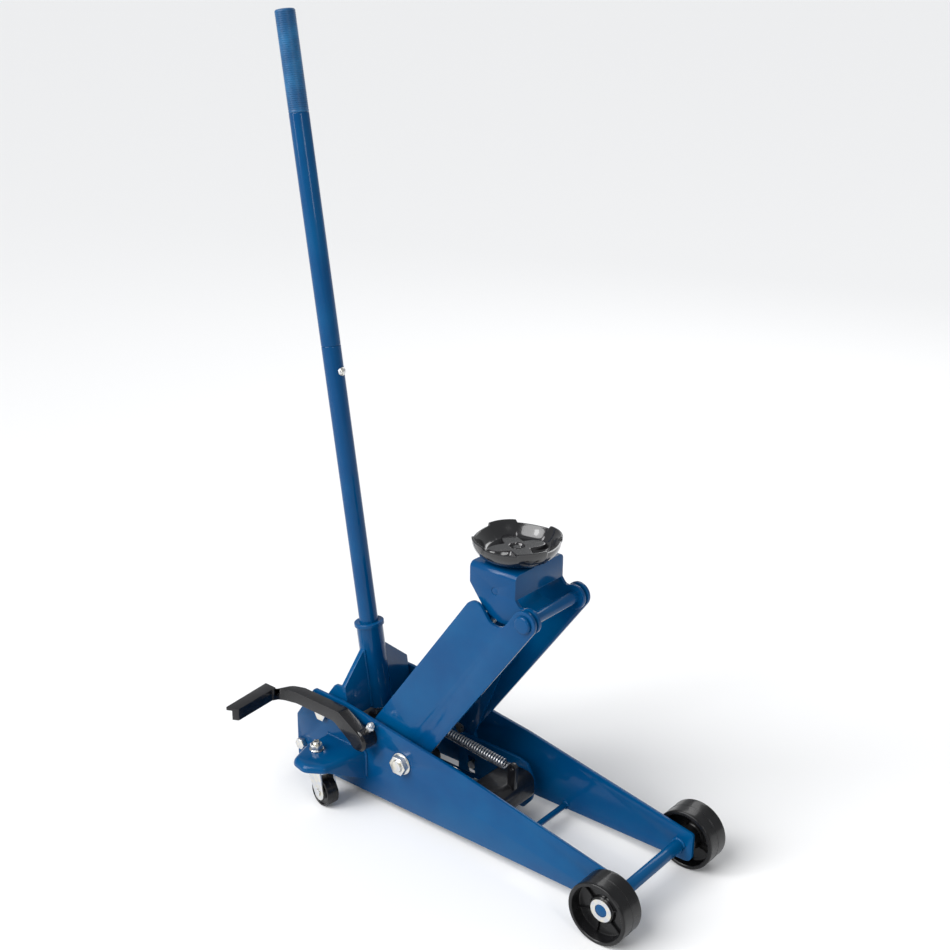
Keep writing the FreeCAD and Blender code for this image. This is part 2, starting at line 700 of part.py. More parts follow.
def link_anchor():
    """The post on the power unit that carries the levelling rods' rear pin and the return spring's hook."""
    post = plate("anchor_post", [
        (s.unit_front - 12, s.unit_top), (s.unit_front, s.unit_top), (s.post_front, s.unit_top + 18, 6),
        (s.post_front, s.post_top, 8), (s.unit_front - 12, s.post_top, 12),
    ], -s.post_half, s.post_half * 2, [(anchor_x, anchor_z, s.link_pin_radius + s.hole_gap)])
    hook = place(lathe("spring_hook", "X", ring(0, 3, s.post_front, s.post_front + 5)), 0, 0, s.post_top - 12)
    node(fuse("link_anchor", [post, hook]), "link_anchor")
    reach = s.link_track + 8
    rod = lathe("anchor_pin", "Y", ring(0, s.link_pin_radius, -reach, reach))
    node(place(rod, anchor_x, 0, anchor_z), "anchor_pin")


def pump_plunger():
    collar = plunger_collar
    profile = [
        (0, plunger_back), (s.plunger_tip, plunger_back), (s.plunger_tip, collar), (s.plunger_radius + 2.5, collar),
        (s.plunger_radius + 2.5, collar + 3), (s.plunger_radius, collar + 3), (s.plunger_radius, boss_back + 12),
        (0, boss_back + 12),
    ]
    node(place(lathe("pump_plunger", "X", profile), 0, s.pump_y, s.pump_z), "pump_plunger")


def release_spindle():
    profile = [
        (0, s.unit_top - 12), (s.spindle_radius, s.unit_top - 12), (s.spindle_radius, s.unit_top + 8),
        (8, s.unit_top + 10), (8, s.spindle_top), (0, s.spindle_top),
    ]
    node(place(lathe("release_spindle", "Z", profile), s.release_x, 0, 0), "release_spindle")


# ---- lift arm ----

arm_inner = s.arm_outer - s.arm_gauge


def arm_section(name, along, toe_in, side):
    """The arm plate's cross-section: a flat lower strip and an upper strip that leans in by toe_in."""
    sketch = doc.addObject("Sketcher::SketchObject", name)
    corners = ordered([
        (side * arm_inner, -s.arm_lobe - 1), (side * s.arm_outer, -s.arm_lobe - 1),
        (side * s.arm_outer, s.arm_lobe), (side * (s.arm_outer - toe_in), s.arm_depth + 1),
        (side * (arm_inner - toe_in), s.arm_depth + 1), (side * arm_inner, s.arm_lobe),
    ])
    draw(sketch, corners)
    sketch.Placement = FreeCAD.Placement(
        FreeCAD.Vector(along.value, 0, 0), FreeCAD.Rotation(FreeCAD.Vector(1, 1, 1), 120))
    bind(sketch, "Placement.Base.x", along)
    return sketch


def arm_plates():
    """Each arm plate is a ruled strip that toes in towards the front, trimmed to the arm's outline."""
    lobe, depth = s.arm_lobe, s.arm_depth
    corners = [
        (-20, -lobe, 10), Lobe(s.arm_length, 0, lobe), (s.arm_front - 17, lobe, 24),
        (s.arm_front, depth, 20), (s.arm_rear, depth, 6), (s.arm_rear - 25, depth / 2, 20), (s.arm_rear - 25, -8, 8),
    ]
    holes = [
        (0, 0, s.pivot_radius + s.run_gap),
        (s.arm_length, 0, s.saddle_pin_radius + s.hole_gap),
    ]
    for side_name, side in SIDES:
        strip = doc.addObject("Part::Loft", f"{side_name}_strip")
        strip.Sections = [
            arm_section(f"{side_name}_rear_section", s.arm_rear - 30, size(0), side),
            arm_section(f"{side_name}_front_section", s.arm_length + 25, s.arm_toe_in, side),
        ]
        strip.Solid = True
        strip.Ruled = True
        outline = pad(f"{side_name}_arm_outline", "XZ_Plane", corners, s.arm_gauge + s.arm_toe_in + 2, holes)
        low = side * (s.arm_outer - s.arm_gauge / 2 - s.arm_toe_in / 2) - (s.arm_gauge + s.arm_toe_in + 2) / 2
        outline.Placement.Base.y = low.value
        bind(outline, "Placement.Base.y", low)
        arm = common(f"{side_name}_arm_plate", strip, outline)
        node(set_in(arm, ARM, 0), f"{side_name}_arm_plate")


def arm_web():
    """The plate between the arm plates near their upper edges, cut to their toe-in."""
    def half_at(along):
        share = (along - s.arm_rear + 30) / (s.arm_length + 55 - s.arm_rear)
        return arm_inner - s.arm_toe_in * share - s.hole_gap

    start, end = half_at(s.web_start), half_at(s.web_end)
    body = pad("arm_web", "XY_Plane", [
        (s.web_start, -start), (s.web_end, -end), (s.web_end, end), (s.web_start, start),
    ], s.web_gauge)
    low = s.arm_depth - s.web_gauge - 1
    x = -low * sine(s.lift_angle)
    z = low * cosine(s.lift_angle)
    node(set_in(body, ARM, 0, x, z), "arm_web")


def horn_plates():
    """Plates inside the arm that reach below its pivot and carry the pins that the ram drives."""
    c, r = cosine(s.lift_angle), sine(s.lift_angle)
    pin_s = s.horn_reach_x * c - s.horn_reach_z * r
    pin_w = -s.horn_reach_x * r - s.horn_reach_z * c
    corners = [
        Lobe(pin_s, pin_w, s.horn_lobe), (21, -25, 10), (161, 7, 30), (215, 7), (215, 20), (-28, 20, 12),
    ]
    holes = [
        (0, 0, s.pivot_radius + s.run_gap),
        (pin_s, pin_w, s.horn_pin_radius),
    ]
    pins = []
    for side_name, side in SIDES:
        body = side_plate(f"{side_name}_horn_plate", corners, side, s.horn_outer, s.horn_gauge, holes, ARM)
        node(body, f"{side_name}_horn_plate")
        near = s.side_link_outer - s.side_link_gauge
        pins.append(pin("horn_pin", s.horn_pin_radius, side, near, s.horn_outer, horn_x, horn_z))
    node(group("horn_pins", pins), "horn_pins")


def pivot_hardware():
    """Stub bolts carry the arm on each side: spacer rings keep it off the side plates, nuts hold the bolts."""
    inner = s.horn_outer - s.horn_gauge
    bolts, spacers, nuts = [], [], []
    for side_name, side in SIDES:
        bolts.append(pin("pivot_bolt", s.pivot_radius, side, inner, s.plate_outer + 15, s.pivot_x, s.pivot_z))
        low, high = span(side, s.arm_outer + s.free_gap, plate_inner)
        profile = ring(s.pivot_radius + s.hole_gap, s.pivot_radius + 8, low, high)
        spacers.append(place(lathe("pivot_spacer", "Y", profile), s.pivot_x, 0, s.pivot_z))
        nut = hexagon("pivot_hex", 30, *span(side, s.plate_outer + 2, s.plate_outer + 12), s.pivot_x, s.pivot_z)
        washer = pin("pivot_washer", 19, side, s.plate_outer, s.plate_outer + 2, s.pivot_x, s.pivot_z)
        bore = pin("nut_bore", s.pivot_radius + s.hole_gap, side, s.plate_outer - 1, s.plate_outer + 13,
                   s.pivot_x, s.pivot_z)
        nuts.append(cut("pivot_nut", fuse("nut_blank", [nut, washer]), bore))
    node(group("pivot_bolts", bolts), "pivot_bolts")
    node(group("pivot_spacers", spacers), "pivot_spacers")
    node(group("pivot_nuts", nuts), "pivot_nuts")


front_x = s.pivot_x + s.arm_length * cosine(s.lift_angle)
front_z = s.pivot_z + s.arm_length * sine(s.lift_angle)


def saddle_pin():
    """The pin that the saddle bracket turns on, with a head outside each arm plate."""
    head = s.arm_outer + s.pin_head_gauge
    radius, big = s.saddle_pin_radius, s.pin_head_radius
    profile = [
        (0, -head), (big - 2, -head), (big, -head + 2), (big, -s.arm_outer), (radius, -s.arm_outer),
        (radius, s.arm_outer), (big, s.arm_outer), (big, head - 2), (big - 2, head), (0, head),
    ]
    node(place(lathe("saddle_pin", "Y", profile), front_x, 0, front_z), "saddle_pin")


def levelling_rods():
    """Two round rods, parallel to the arm, with an eye at each end."""
    eye_half = s.link_radius
    for side_name, side in SIDES:
        track = side * s.link_track
        rod = lathe(f"{side_name}_rod_bar", "X",
                    ring(0, s.link_radius - 1, s.link_eye - 2, s.arm_length - s.link_eye + 2))
        place(rod, anchor_x, track, anchor_z, ((0, -1, 0), s.lift_angle))
        top_x = anchor_x + s.arm_length * cosine(s.lift_angle)
        top_z = anchor_z + s.arm_length * sine(s.lift_angle)
        pieces = [rod]
        for x, z, gap in ((anchor_x, anchor_z, s.run_gap), (top_x, top_z, s.free_gap)):
            profile = ring(s.link_pin_radius + gap, s.link_eye, track - eye_half, track + eye_half)
            pieces.append(place(lathe("rod_eye", "Y", profile), x, 0, z))
        node(fuse(f"{side_name}_levelling_rod", pieces), f"{side_name}_levelling_rod")


# ---- saddle bracket and saddle ----

link_x = front_x - s.link_back
link_z = front_z + s.link_rise
ear_inner = s.ear_outer - s.ear_gauge


def saddle_bracket():
    """A folded channel: two ears, a flat top and a front lip, with rounded bends along the top."""
    top, rear, front = s.bracket_top, s.bracket_rear, s.bracket_front
    lip_low = top - s.lip_drop
    corners = [
        (rear - 2, top - 33, 6), (link_x - 20, link_z - 34, 10), (link_x + 6, link_z - 47, 20),
        Lobe(front_x, front_z, s.arm_lobe - 0.5), (front + 10, lip_low - 12, 8), (front, lip_low, 4),
        (front, top), (rear - 2, top),
    ]
    ears = plate("bracket_blank", corners, -s.ear_outer, s.ear_outer * 2, [
        (front_x, front_z, s.saddle_pin_radius + s.run_gap),
        (link_x, link_z, s.link_pin_radius + s.hole_gap),
    ])
    doc.recompute()
    bends = [
        f"Edge{i}" for i, edge in enumerate(ears.Shape.Edges, start=1)
        if runs_along_x(edge) and edge.BoundBox.ZMin > top.value - 0.1
    ]
    blank = ears.Tip
    bend = ears.newObject("PartDesign::Fillet", "Bends")
    bend.Base = (blank, bends)
    bend.Radius = SIZES["bracket_bend"]
    bend.setExpression("Radius", "Sizes.bracket_bend")
    hollow = plate("bracket_hollow", [
        (rear - 40, front_z - 40), (front_x + 40, front_z - 40), (front_x + 40, lip_low),
        (front - s.ear_gauge, lip_low), (front - s.ear_gauge, top - s.ear_gauge), (rear - 40, top - s.ear_gauge),
    ], -ear_inner, ear_inner * 2)
    screw = place(lathe("stem_bore", "Z", ring(0, s.saddle_stem + s.run_gap, top - 20, top + 5)), s.saddle_x, 0, 0)
    node(cut("saddle_bracket", ears, fuse("bracket_cuts", [hollow, screw])), "saddle_bracket")
    reach = s.ear_outer - 0.5
    bar = lathe("link_pin", "Y", ring(0, s.link_pin_radius, -reach, reach))
    node(place(bar, link_x, 0, link_z), "link_pin")


def runs_along_x(edge):
    bounds = edge.BoundBox
    return bounds.XLength > 10 and bounds.YLength < 0.01 and bounds.ZLength < 0.01


def saddle():
    """A dished saddle with claws round its rim and a raised middle, on a stem in the bracket's top."""
    floor = s.bracket_top + s.free_gap
    rim = s.saddle_rim - s.claw_height
    radius = s.saddle_radius
    profile = [
        (0, s.bracket_top - s.ear_gauge - 9), (s.saddle_stem, s.bracket_top - s.ear_gauge - 9),
        (s.saddle_stem, floor), (radius - 34, floor), (radius - 4, rim - 12), (radius, rim - 8), (radius, rim),
        (radius - 6, rim), (radius - 12, floor + 14), (30, floor + 10), (26, floor + 17), (0, floor + 17),
    ]
    dish = lathe("saddle_dish", "Z", profile)
    place(dish, s.saddle_x, 0, 0)
    claws = []
    for quarter in range(4):
        claw = lathe("claw_ring", "Z", ring(radius - 7, radius, rim - 4, s.saddle_rim))
        sector = claw.Tip
        sector.Angle = s.claw_angle.value
        bind(sector, "Angle", s.claw_angle)
        sector.Midplane = True
        turn = ((0, 0, 1), s.saddle_turn + 90 * quarter)
        claws.append(place(claw, s.saddle_x, 0, 0, turn))
    node(fuse("saddle", [dish] + claws), "saddle")
    nut_top = s.bracket_top - s.ear_gauge - s.free_gap
    nut = place(lathe("saddle_nut", "Z", ring(s.saddle_stem, 14, nut_top - 7, nut_top)), s.saddle_x, 0, 0)
    node(nut, "saddle_nut")


# ---- handle yoke and handle ----

def handle_yoke():
    """Pressed yoke: a front web with sloping shoulders, flanges bent back to the pivot, and a welded socket."""
    web_low, web_high = s.handle_offset - 3.5, s.handle_offset + 2.5
    outer, foot, corner, neck = s.yoke_outer, s.yoke_foot, s.yoke_corner, s.yoke_neck
    half = s.yoke_neck_half
    back = web_high - s.yoke_flange
    web = in_yoke(pad("yoke_web", "YZ_Plane", [
        (-outer, foot), (outer, foot), (outer, corner), (half, neck), (-half, neck), (-outer, corner),
    ], web_high - web_low), web_low, 0, 0)
    pieces = [web]
    for side_name, side in SIDES:
        flange = [
            (web_high, foot), (web_high, corner), (back, corner, 6), Lobe(0, 0, 17), (12, -17, 6), (web_low - 8, foot),
        ]
        hole = [(0, 0, s.yoke_pin_radius + s.run_gap)]
        pieces.append(side_plate(f"{side_name}_flange", flange, side, outer, s.yoke_gauge, hole, YOKE))
        shoulder = pad(f"{side_name}_shoulder", "YZ_Plane", ordered([
            (side * half, neck), (side * outer, corner), (side * outer, corner - 7), (side * half, neck - 7),
        ]), s.yoke_shoulder)
        pieces.append(in_yoke(shoulder, web_high - s.yoke_shoulder, 0, 0))
    socket = lathe("socket_tube", "Z", [
        (0, s.socket_bottom), (s.socket_radius, s.socket_bottom), (s.socket_radius, s.socket_top - 8),
        (s.socket_radius + 3, s.socket_top - 7), (s.socket_radius + 3, s.socket_top - 1),
        (s.socket_radius + 2, s.socket_top), (0, s.socket_top),
    ])
    pieces.append(in_yoke(socket, s.handle_offset, 0, 0))
    bore = lathe("socket_bore", "Z", ring(0, s.pole_radius + s.free_gap, s.socket_bottom - 1, s.socket_top + 1))
    in_yoke(bore, s.handle_offset, 0, 0)
    node(cut("handle_socket", fuse("yoke_blank", pieces), bore), "handle_socket")


def in_yoke(thing, x, y, z):
    """Put a thing at x and z of the leaning handle's frame."""
    lean = s.handle_lean
    world_x = s.yoke_x + size(x) * cosine(lean) - size(z) * sine(lean)
    world_z = s.yoke_z + size(x) * sine(lean) + size(z) * cosine(lean)
    return place(thing, world_x, y, world_z, ((0, -1, 0), lean))


def yoke_hardware():
    inner = s.yoke_outer - s.yoke_gauge
    bolts = []
    for _, side in SIDES:
        shank = pin("yoke_shank", s.yoke_pin_radius, side, inner + s.free_gap, s.plate_outer + 1, s.yoke_x, s.yoke_z)
        head = hexagon("yoke_head", 22, *span(side, s.plate_outer, s.plate_outer + 8), s.yoke_x, s.yoke_z)
        bolts.append(fuse("yoke_bolt", [shank, head]))
    node(group("yoke_bolts", bolts), "yoke_bolts")
    barrel = place(lathe("cam_barrel", "Y", ring(0, 11, -inner, inner)), s.yoke_x, 0, s.yoke_z)
    reach_x, reach_z = roller_x - s.yoke_x, roller_z - s.yoke_z
    lug_near = s.roller_width / 2 + s.free_gap
    pieces = [barrel]
    for side in (-1, 1):
        low = s.pump_y + span(side, lug_near, lug_near + 5)[0]
        lug = pad("cam_lug", "XZ_Plane", [(7, -3), (-2, 8), (-9, 3), Lobe(reach_x, reach_z, 7)], 5)
        pieces.append(place(lug, s.yoke_x, low, s.yoke_z))
    wide = lug_near + 5
    rod = lathe("roller_rod", "Y", ring(0, s.roller_pin, s.pump_y - wide, s.pump_y + wide))
    pieces.append(place(rod, roller_x, 0, roller_z))
    node(fuse("pump_cam", pieces), "pump_cam")
    half = s.roller_width / 2
    roll = lathe("pump_roller", "Y", ring(s.roller_pin + s.run_gap, s.roller_radius, s.pump_y - half, s.pump_y + half))
    node(place(roll, roller_x, 0, roller_z), "pump_roller")


def handle():
    radius, wall = s.pole_radius, s.pole_wall
    joint, top = s.pole_joint, s.pole_top
    grip_low = top - s.grip_length
    lower = lathe("lower_tube", "Z", [
        (radius - wall, s.socket_bottom + 12), (radius, s.socket_bottom + 12), (radius, joint - 4),
        (radius - 1, joint - 1), (radius - wall, joint - 1),
    ])
    in_yoke(lower, s.handle_offset, 0, 0)
    spigot = radius - wall - s.hole_gap
    upper = lathe("upper_tube", "Z", [
        (spigot - 2, joint - 70), (spigot, joint - 70), (spigot, joint - 1), (radius - 1, joint - 1),
        (radius, joint + 3), (radius, grip_low - s.hole_gap), (radius - s.grip_gauge, grip_low - s.hole_gap),
        (radius - s.grip_gauge, top - 4), (spigot - 2, top - 4),
    ])
    in_yoke(upper, s.handle_offset, 0, 0)
    screw_z = joint - 45
    for tube, name in ((lower, "lower_handle"), (upper, "upper_handle")):
        bore = lathe("screw_bore", "X", ring(0, 4 + s.hole_gap, -radius - 1, radius + 1))
        node(cut(name, tube, in_yoke(bore, s.handle_offset, 0, screw_z)), name)
    ridges = ribbed_profile(s.pole_radius, grip_low, top)
    node(in_yoke(lathe("grip", "Z", ridges), s.handle_offset, 0, 0), "grip")
    bolt = lathe("joint_bolt", "X", [
        (0, -radius - 2), (4, -radius - 2), (4, radius + 0.3), (7, radius + 0.3), (7, radius + 4), (5, radius + 6),
        (0, radius + 6),
    ])
    node(in_yoke(bolt, s.handle_offset, 0, screw_z), "joint_bolt")
    dog = lathe("release_dog", "Z", [
        (0, s.socket_bottom - 6), (9, s.socket_bottom - 6), (9, s.socket_bottom + 12),
        (radius - wall - s.hole_gap, s.socket_bottom + 12), (radius - wall - s.hole_gap, s.socket_bottom + 34),
        (0, s.socket_bottom + 34),
    ])
    node(in_yoke(dog, s.handle_offset, 0, 0), "release_dog")


def ribbed_profile(radius, low, high):
    """A grip with ridges round it and a closed, rounded end."""
    inner = radius - s.grip_gauge + s.hole_gap
    bumps = []
    pitch = 8
    count = int((high - low).value / pitch) - 1
    for i in range(count):
        base = low + i * pitch
        bumps.append((radius + 0.6, base + 1.5))
        bumps.append((radius + 1.6, base + 3))
        bumps.append((radius + 1.6, base + 6))
        bumps.append((radius + 0.6, base + 7.5))
    return [(inner, low)] + [(radius, low)] + bumps + [
        (radius + 0.6, high - 5), (radius - 4, high), (0, high), (0, high - 3), (inner, high - 3),
    ]


# ---- foot pedal ----

def foot_pedal():
    """Hub, cranked bar and channel-shaped pad of the quick-lift pedal on the right side."""
    near = s.plate_outer + s.free_gap
    outer = s.pedal_hub_outer
    low = s.pedal_bar_top - s.pedal_bar
    bar_near = -s.plate_outer - s.pedal_clear
    bar_far = bar_near - s.pedal_bar
    hub = place(lathe("pedal_hub", "Y", [
        (0, -outer), (s.pedal_hub - 4, -outer), (s.pedal_hub, -outer + 4), (s.pedal_hub, -near), (0, -near),
    ]), s.pedal_x, 0, s.pedal_z)
    rise = plate("pedal_rise", [
        (s.pedal_x - 4, s.pedal_z - 12), (s.pedal_x + 8, s.pedal_z + 14), (s.pedal_x - 40, s.pedal_bar_top, 20),
        (s.pedal_bend_x, s.pedal_bar_top), (s.pedal_bend_x, low), (s.pedal_x - 52, low, 20),
    ], bar_far, s.pedal_bar)
    bend = place(pad("pedal_bend", "XY_Plane", ordered([
        (s.pedal_bend_x, bar_far), (s.pedal_bend_x, bar_near), (s.pedal_bend_x - 22, bar_near - 8, 20),
        (s.pedal_pad_x + 12, -138), (s.pedal_pad_x - 8, -144), (s.pedal_bend_x - 24, bar_far - 6, 20),
    ]), s.pedal_bar), 0, 0, low)
    half = s.pedal_pad_width / 2
    root = -130
    pad_corners = ordered([
        (s.pedal_pad_x - half - 2, root), (s.pedal_pad_x + half - 2, root),
        (s.pedal_pad_x + half + 6, -s.pedal_tip + 11, 3), (s.pedal_pad_x + half - 15, -s.pedal_tip, 3),
    ])
    tread = place(pad("pedal_tread", "XY_Plane", pad_corners, s.pedal_bar), 0, 0, low)
    hollow = box("pedal_hollow", (s.pedal_pad_x - half + 3, s.pedal_pad_x + half - 4),
                 (-s.pedal_tip - 2, size(-145)), (low - 1, s.pedal_bar_top - s.pedal_wall))
    tilt = ((0, 1, 0), 25)
    bolt_y = -near - 9
    bolt = lathe("pedal_set_bolt", "Z", [
        (0, s.pedal_hub - 1), (5, s.pedal_hub - 1), (5, 27), (8.5, 27), (8.5, 34), (7, 35.5), (0, 35.5),
    ])
    place(bolt, s.pedal_x, bolt_y, s.pedal_z, tilt)
    seat = place(lathe("set_bolt_seat", "Z", ring(0, 5, s.pedal_hub - 1, 27)), s.pedal_x, bolt_y, s.pedal_z, tilt)
    whole = fuse("pedal_blank", [hub, rise, bend, tread])
    node(cut("foot_pedal", whole, fuse("pedal_cuts", [hollow, seat])), "foot_pedal")
    node(bolt, "pedal_set_bolt")
    crank_high = plate_inner - 1.5
    crank_low = s.arm_outer + 2
    shaft = lathe("crank_shaft", "Y", ring(0, s.pedal_shaft, -near, -crank_low))
    place(shaft, s.pedal_x, 0, s.pedal_z)
    lever = plate("crank_lever", [
        (s.pedal_x - 34, s.pedal_z - 40), (s.pedal_x - 20, s.pedal_z - 44), Lobe(s.pedal_x, s.pedal_z, 14),
    ], -crank_high, crank_high - crank_low)
    node(fuse("pedal_crank", [shaft, lever]), "pedal_crank")


def build():
    for make in (
        chassis_plates, axle_and_wheels, ties, caster_shelves, casters, power_unit, ram_cylinder, ram, crosshead,
        side_links, springs, link_anchor, pump_plunger, release_spindle, arm_plates, arm_web, horn_plates,
        pivot_hardware, saddle_pin, levelling_rods, saddle_bracket, saddle, handle_yoke, yoke_hardware, handle,
        foot_pedal,
    ):
        make()
    doc.recompute()


def check():
    for thing in doc.Objects:
        if "Invalid" in thing.State or "Error" in thing.State:
            raise RuntimeError(f"{thing.Label} ({thing.Name}) failed: {thing.State}")
    for thing in NODES:
        if thing.Shape.isNull() or not thing.Shape.isValid() or not thing.Shape.Solids:
            raise RuntimeError(f"{thing.Label} has no valid solid")


def export():
    os.makedirs("parts", exist_ok=True)
    for thing in NODES:
        thing.Shape.exportStep(f"parts/{thing.Label}.step")


build()
check()
export()
print(f"{len(NODES)} nodes")
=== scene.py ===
import json
import math
import random

import bmesh
import bpy
from mathutils import Matrix, Vector


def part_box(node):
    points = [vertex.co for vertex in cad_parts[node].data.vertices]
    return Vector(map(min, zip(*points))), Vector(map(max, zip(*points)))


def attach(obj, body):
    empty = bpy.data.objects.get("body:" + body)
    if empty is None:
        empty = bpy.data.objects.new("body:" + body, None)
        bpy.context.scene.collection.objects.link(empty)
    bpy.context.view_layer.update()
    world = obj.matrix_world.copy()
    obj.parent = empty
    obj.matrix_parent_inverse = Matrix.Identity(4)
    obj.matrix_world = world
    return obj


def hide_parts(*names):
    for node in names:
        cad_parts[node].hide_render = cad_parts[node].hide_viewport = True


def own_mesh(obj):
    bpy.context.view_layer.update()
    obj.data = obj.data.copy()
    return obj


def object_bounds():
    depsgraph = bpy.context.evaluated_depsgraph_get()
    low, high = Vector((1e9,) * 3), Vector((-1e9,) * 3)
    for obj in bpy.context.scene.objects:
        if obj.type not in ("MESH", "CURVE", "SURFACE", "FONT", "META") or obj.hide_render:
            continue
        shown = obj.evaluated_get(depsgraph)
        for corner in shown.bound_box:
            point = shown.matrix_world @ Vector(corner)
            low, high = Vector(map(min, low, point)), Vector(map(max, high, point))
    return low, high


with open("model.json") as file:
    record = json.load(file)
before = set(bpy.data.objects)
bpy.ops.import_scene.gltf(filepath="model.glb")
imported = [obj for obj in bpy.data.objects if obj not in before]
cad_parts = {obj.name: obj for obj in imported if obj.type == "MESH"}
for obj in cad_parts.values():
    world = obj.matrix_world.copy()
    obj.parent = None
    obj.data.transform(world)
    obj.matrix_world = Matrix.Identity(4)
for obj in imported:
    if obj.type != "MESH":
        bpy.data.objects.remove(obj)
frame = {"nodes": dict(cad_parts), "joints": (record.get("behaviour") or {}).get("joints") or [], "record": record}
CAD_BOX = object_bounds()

bl_info = {
    "name": "Trolley Jack",
    "version": (1, 0, 0),
    "blender": (4, 5, 0),
    "location": "3D View > Sidebar > Jack",
    "description": "Builds the detailed pieces, finishes and studio of a hydraulic trolley jack",
    "category": "Add Mesh",
}

MM = 0.001
SIDES = (("right", -1), ("left", 1))


# ---- what the user can change ----

def colour(name, description, default):
    return bpy.props.FloatVectorProperty(
        name=name, description=description, default=default, size=3, subtype="COLOR", min=0, max=1)


def length(name, description, default):
    return bpy.props.FloatProperty(
        name=name, description=description, default=default, unit="LENGTH", min=0, precision=4)


def angle(name, description, degrees):
    return bpy.props.FloatProperty(
        name=name, description=description, default=math.radians(degrees), subtype="ANGLE")


def count(name, description, default):
    return bpy.props.IntProperty(name=name, description=description, default=default, min=1)


class JackColours(bpy.types.PropertyGroup):
    """Colours of the paints and plastics."""

    paint: colour("Frame paint", "Enamel on the pressed steel", (0.0, 0.068, 0.19))
    paint_deep: colour("Paint shade", "Darker tone in the enamel's slow variation", (0.0, 0.052, 0.162))
    # This lighter blue is a painted edge highlight, mixed into the enamel along its edges.
    edge: colour("Paint edge", "Thin enamel where it draws back from an edge", (0.01, 0.13, 0.33))
    black: colour("Black enamel", "Castings and the pedal", (0.0045, 0.0045, 0.0055))
    zinc: colour("Zinc", "Plated bolts, nuts and forks", (0.72, 0.72, 0.71))
    floor: colour("Floor", "Studio floor", (0.86, 0.86, 0.86))


class JackSizes(bpy.types.PropertyGroup):
    """Sizes of the details."""

    plate_edge: length("Plate edge", "Rounding of sheared plate edges", 0.0009)
    cast_edge: length("Casting edge", "Rounding of cast edges", 0.0022)
    bolt_edge: length("Bolt edge", "Chamfer of nuts and bolt heads", 0.0008)
    weld: length("Weld", "Radius of the weld beads", 0.0030)
    coils: count("Return spring coils", "Turns of the return spring", 36)
    grip_pitch: length("Grip rib pitch", "Distance between the grip's ribs", 0.0032)
    claws: count("Saddle claws", "Claws round the saddle's rim", 4)
    wheel_ribs: count("Wheel ribs", "Ribs inside each face of a front wheel", 6)


class JackStudio(bpy.types.PropertyGroup):
    """Where the camera stands, from the middle of the front axle on the ground."""

    azimuth: angle("Azimuth", "Camera direction round the jack", 39.284)
    elevation: angle("Elevation", "Camera height as an angle", 20.477)
    roll: angle("Roll", "Camera tilt about its view", 0.739)
    stand_x: length("Stand forward", "Camera place in front of the axle", 0.930)
    stand_y: length("Stand right", "Camera place to the right of the jack", 1.552)
    stand_z: length("Stand height", "Camera height above the ground", 1.363)
    lens: bpy.props.FloatProperty(name="Lens", description="Focal length", default=53.5, unit="CAMERA")


# ---- shader expressions ----

class Wire:
    """A node's output in an expression: arithmetic on it adds Math nodes."""

    def __init__(self, finish, socket):
        self.finish = finish
        self.socket = socket

    def math(self, operation, *others, clamp=False):
        settings = {"operation": operation, "use_clamp": clamp}
        return self.finish.node("Math", settings, dict(enumerate((self,) + others)))

    def __add__(self, other):
        return self.math("ADD", other)

    def __radd__(self, other):
        return self.math("ADD", other)

    def __sub__(self, other):
        return self.math("SUBTRACT", other)

    def __rsub__(self, other):
        return self.finish.node("Math", {"operation": "SUBTRACT"}, {0: other, 1: self})

    def __mul__(self, other):
        return self.math("MULTIPLY", other)

    def __rmul__(self, other):
        return self.math("MULTIPLY", other)

    def clamp(self):
        return self.math("ADD", 0.0, clamp=True)

    def over(self, low, high):
        """0 below low, 1 above high, and smooth between."""
        settings = {"interpolation_type": "SMOOTHSTEP"}
        return self.finish.node("MapRange", settings, {"Value": self, "From Min": low, "From Max": high})


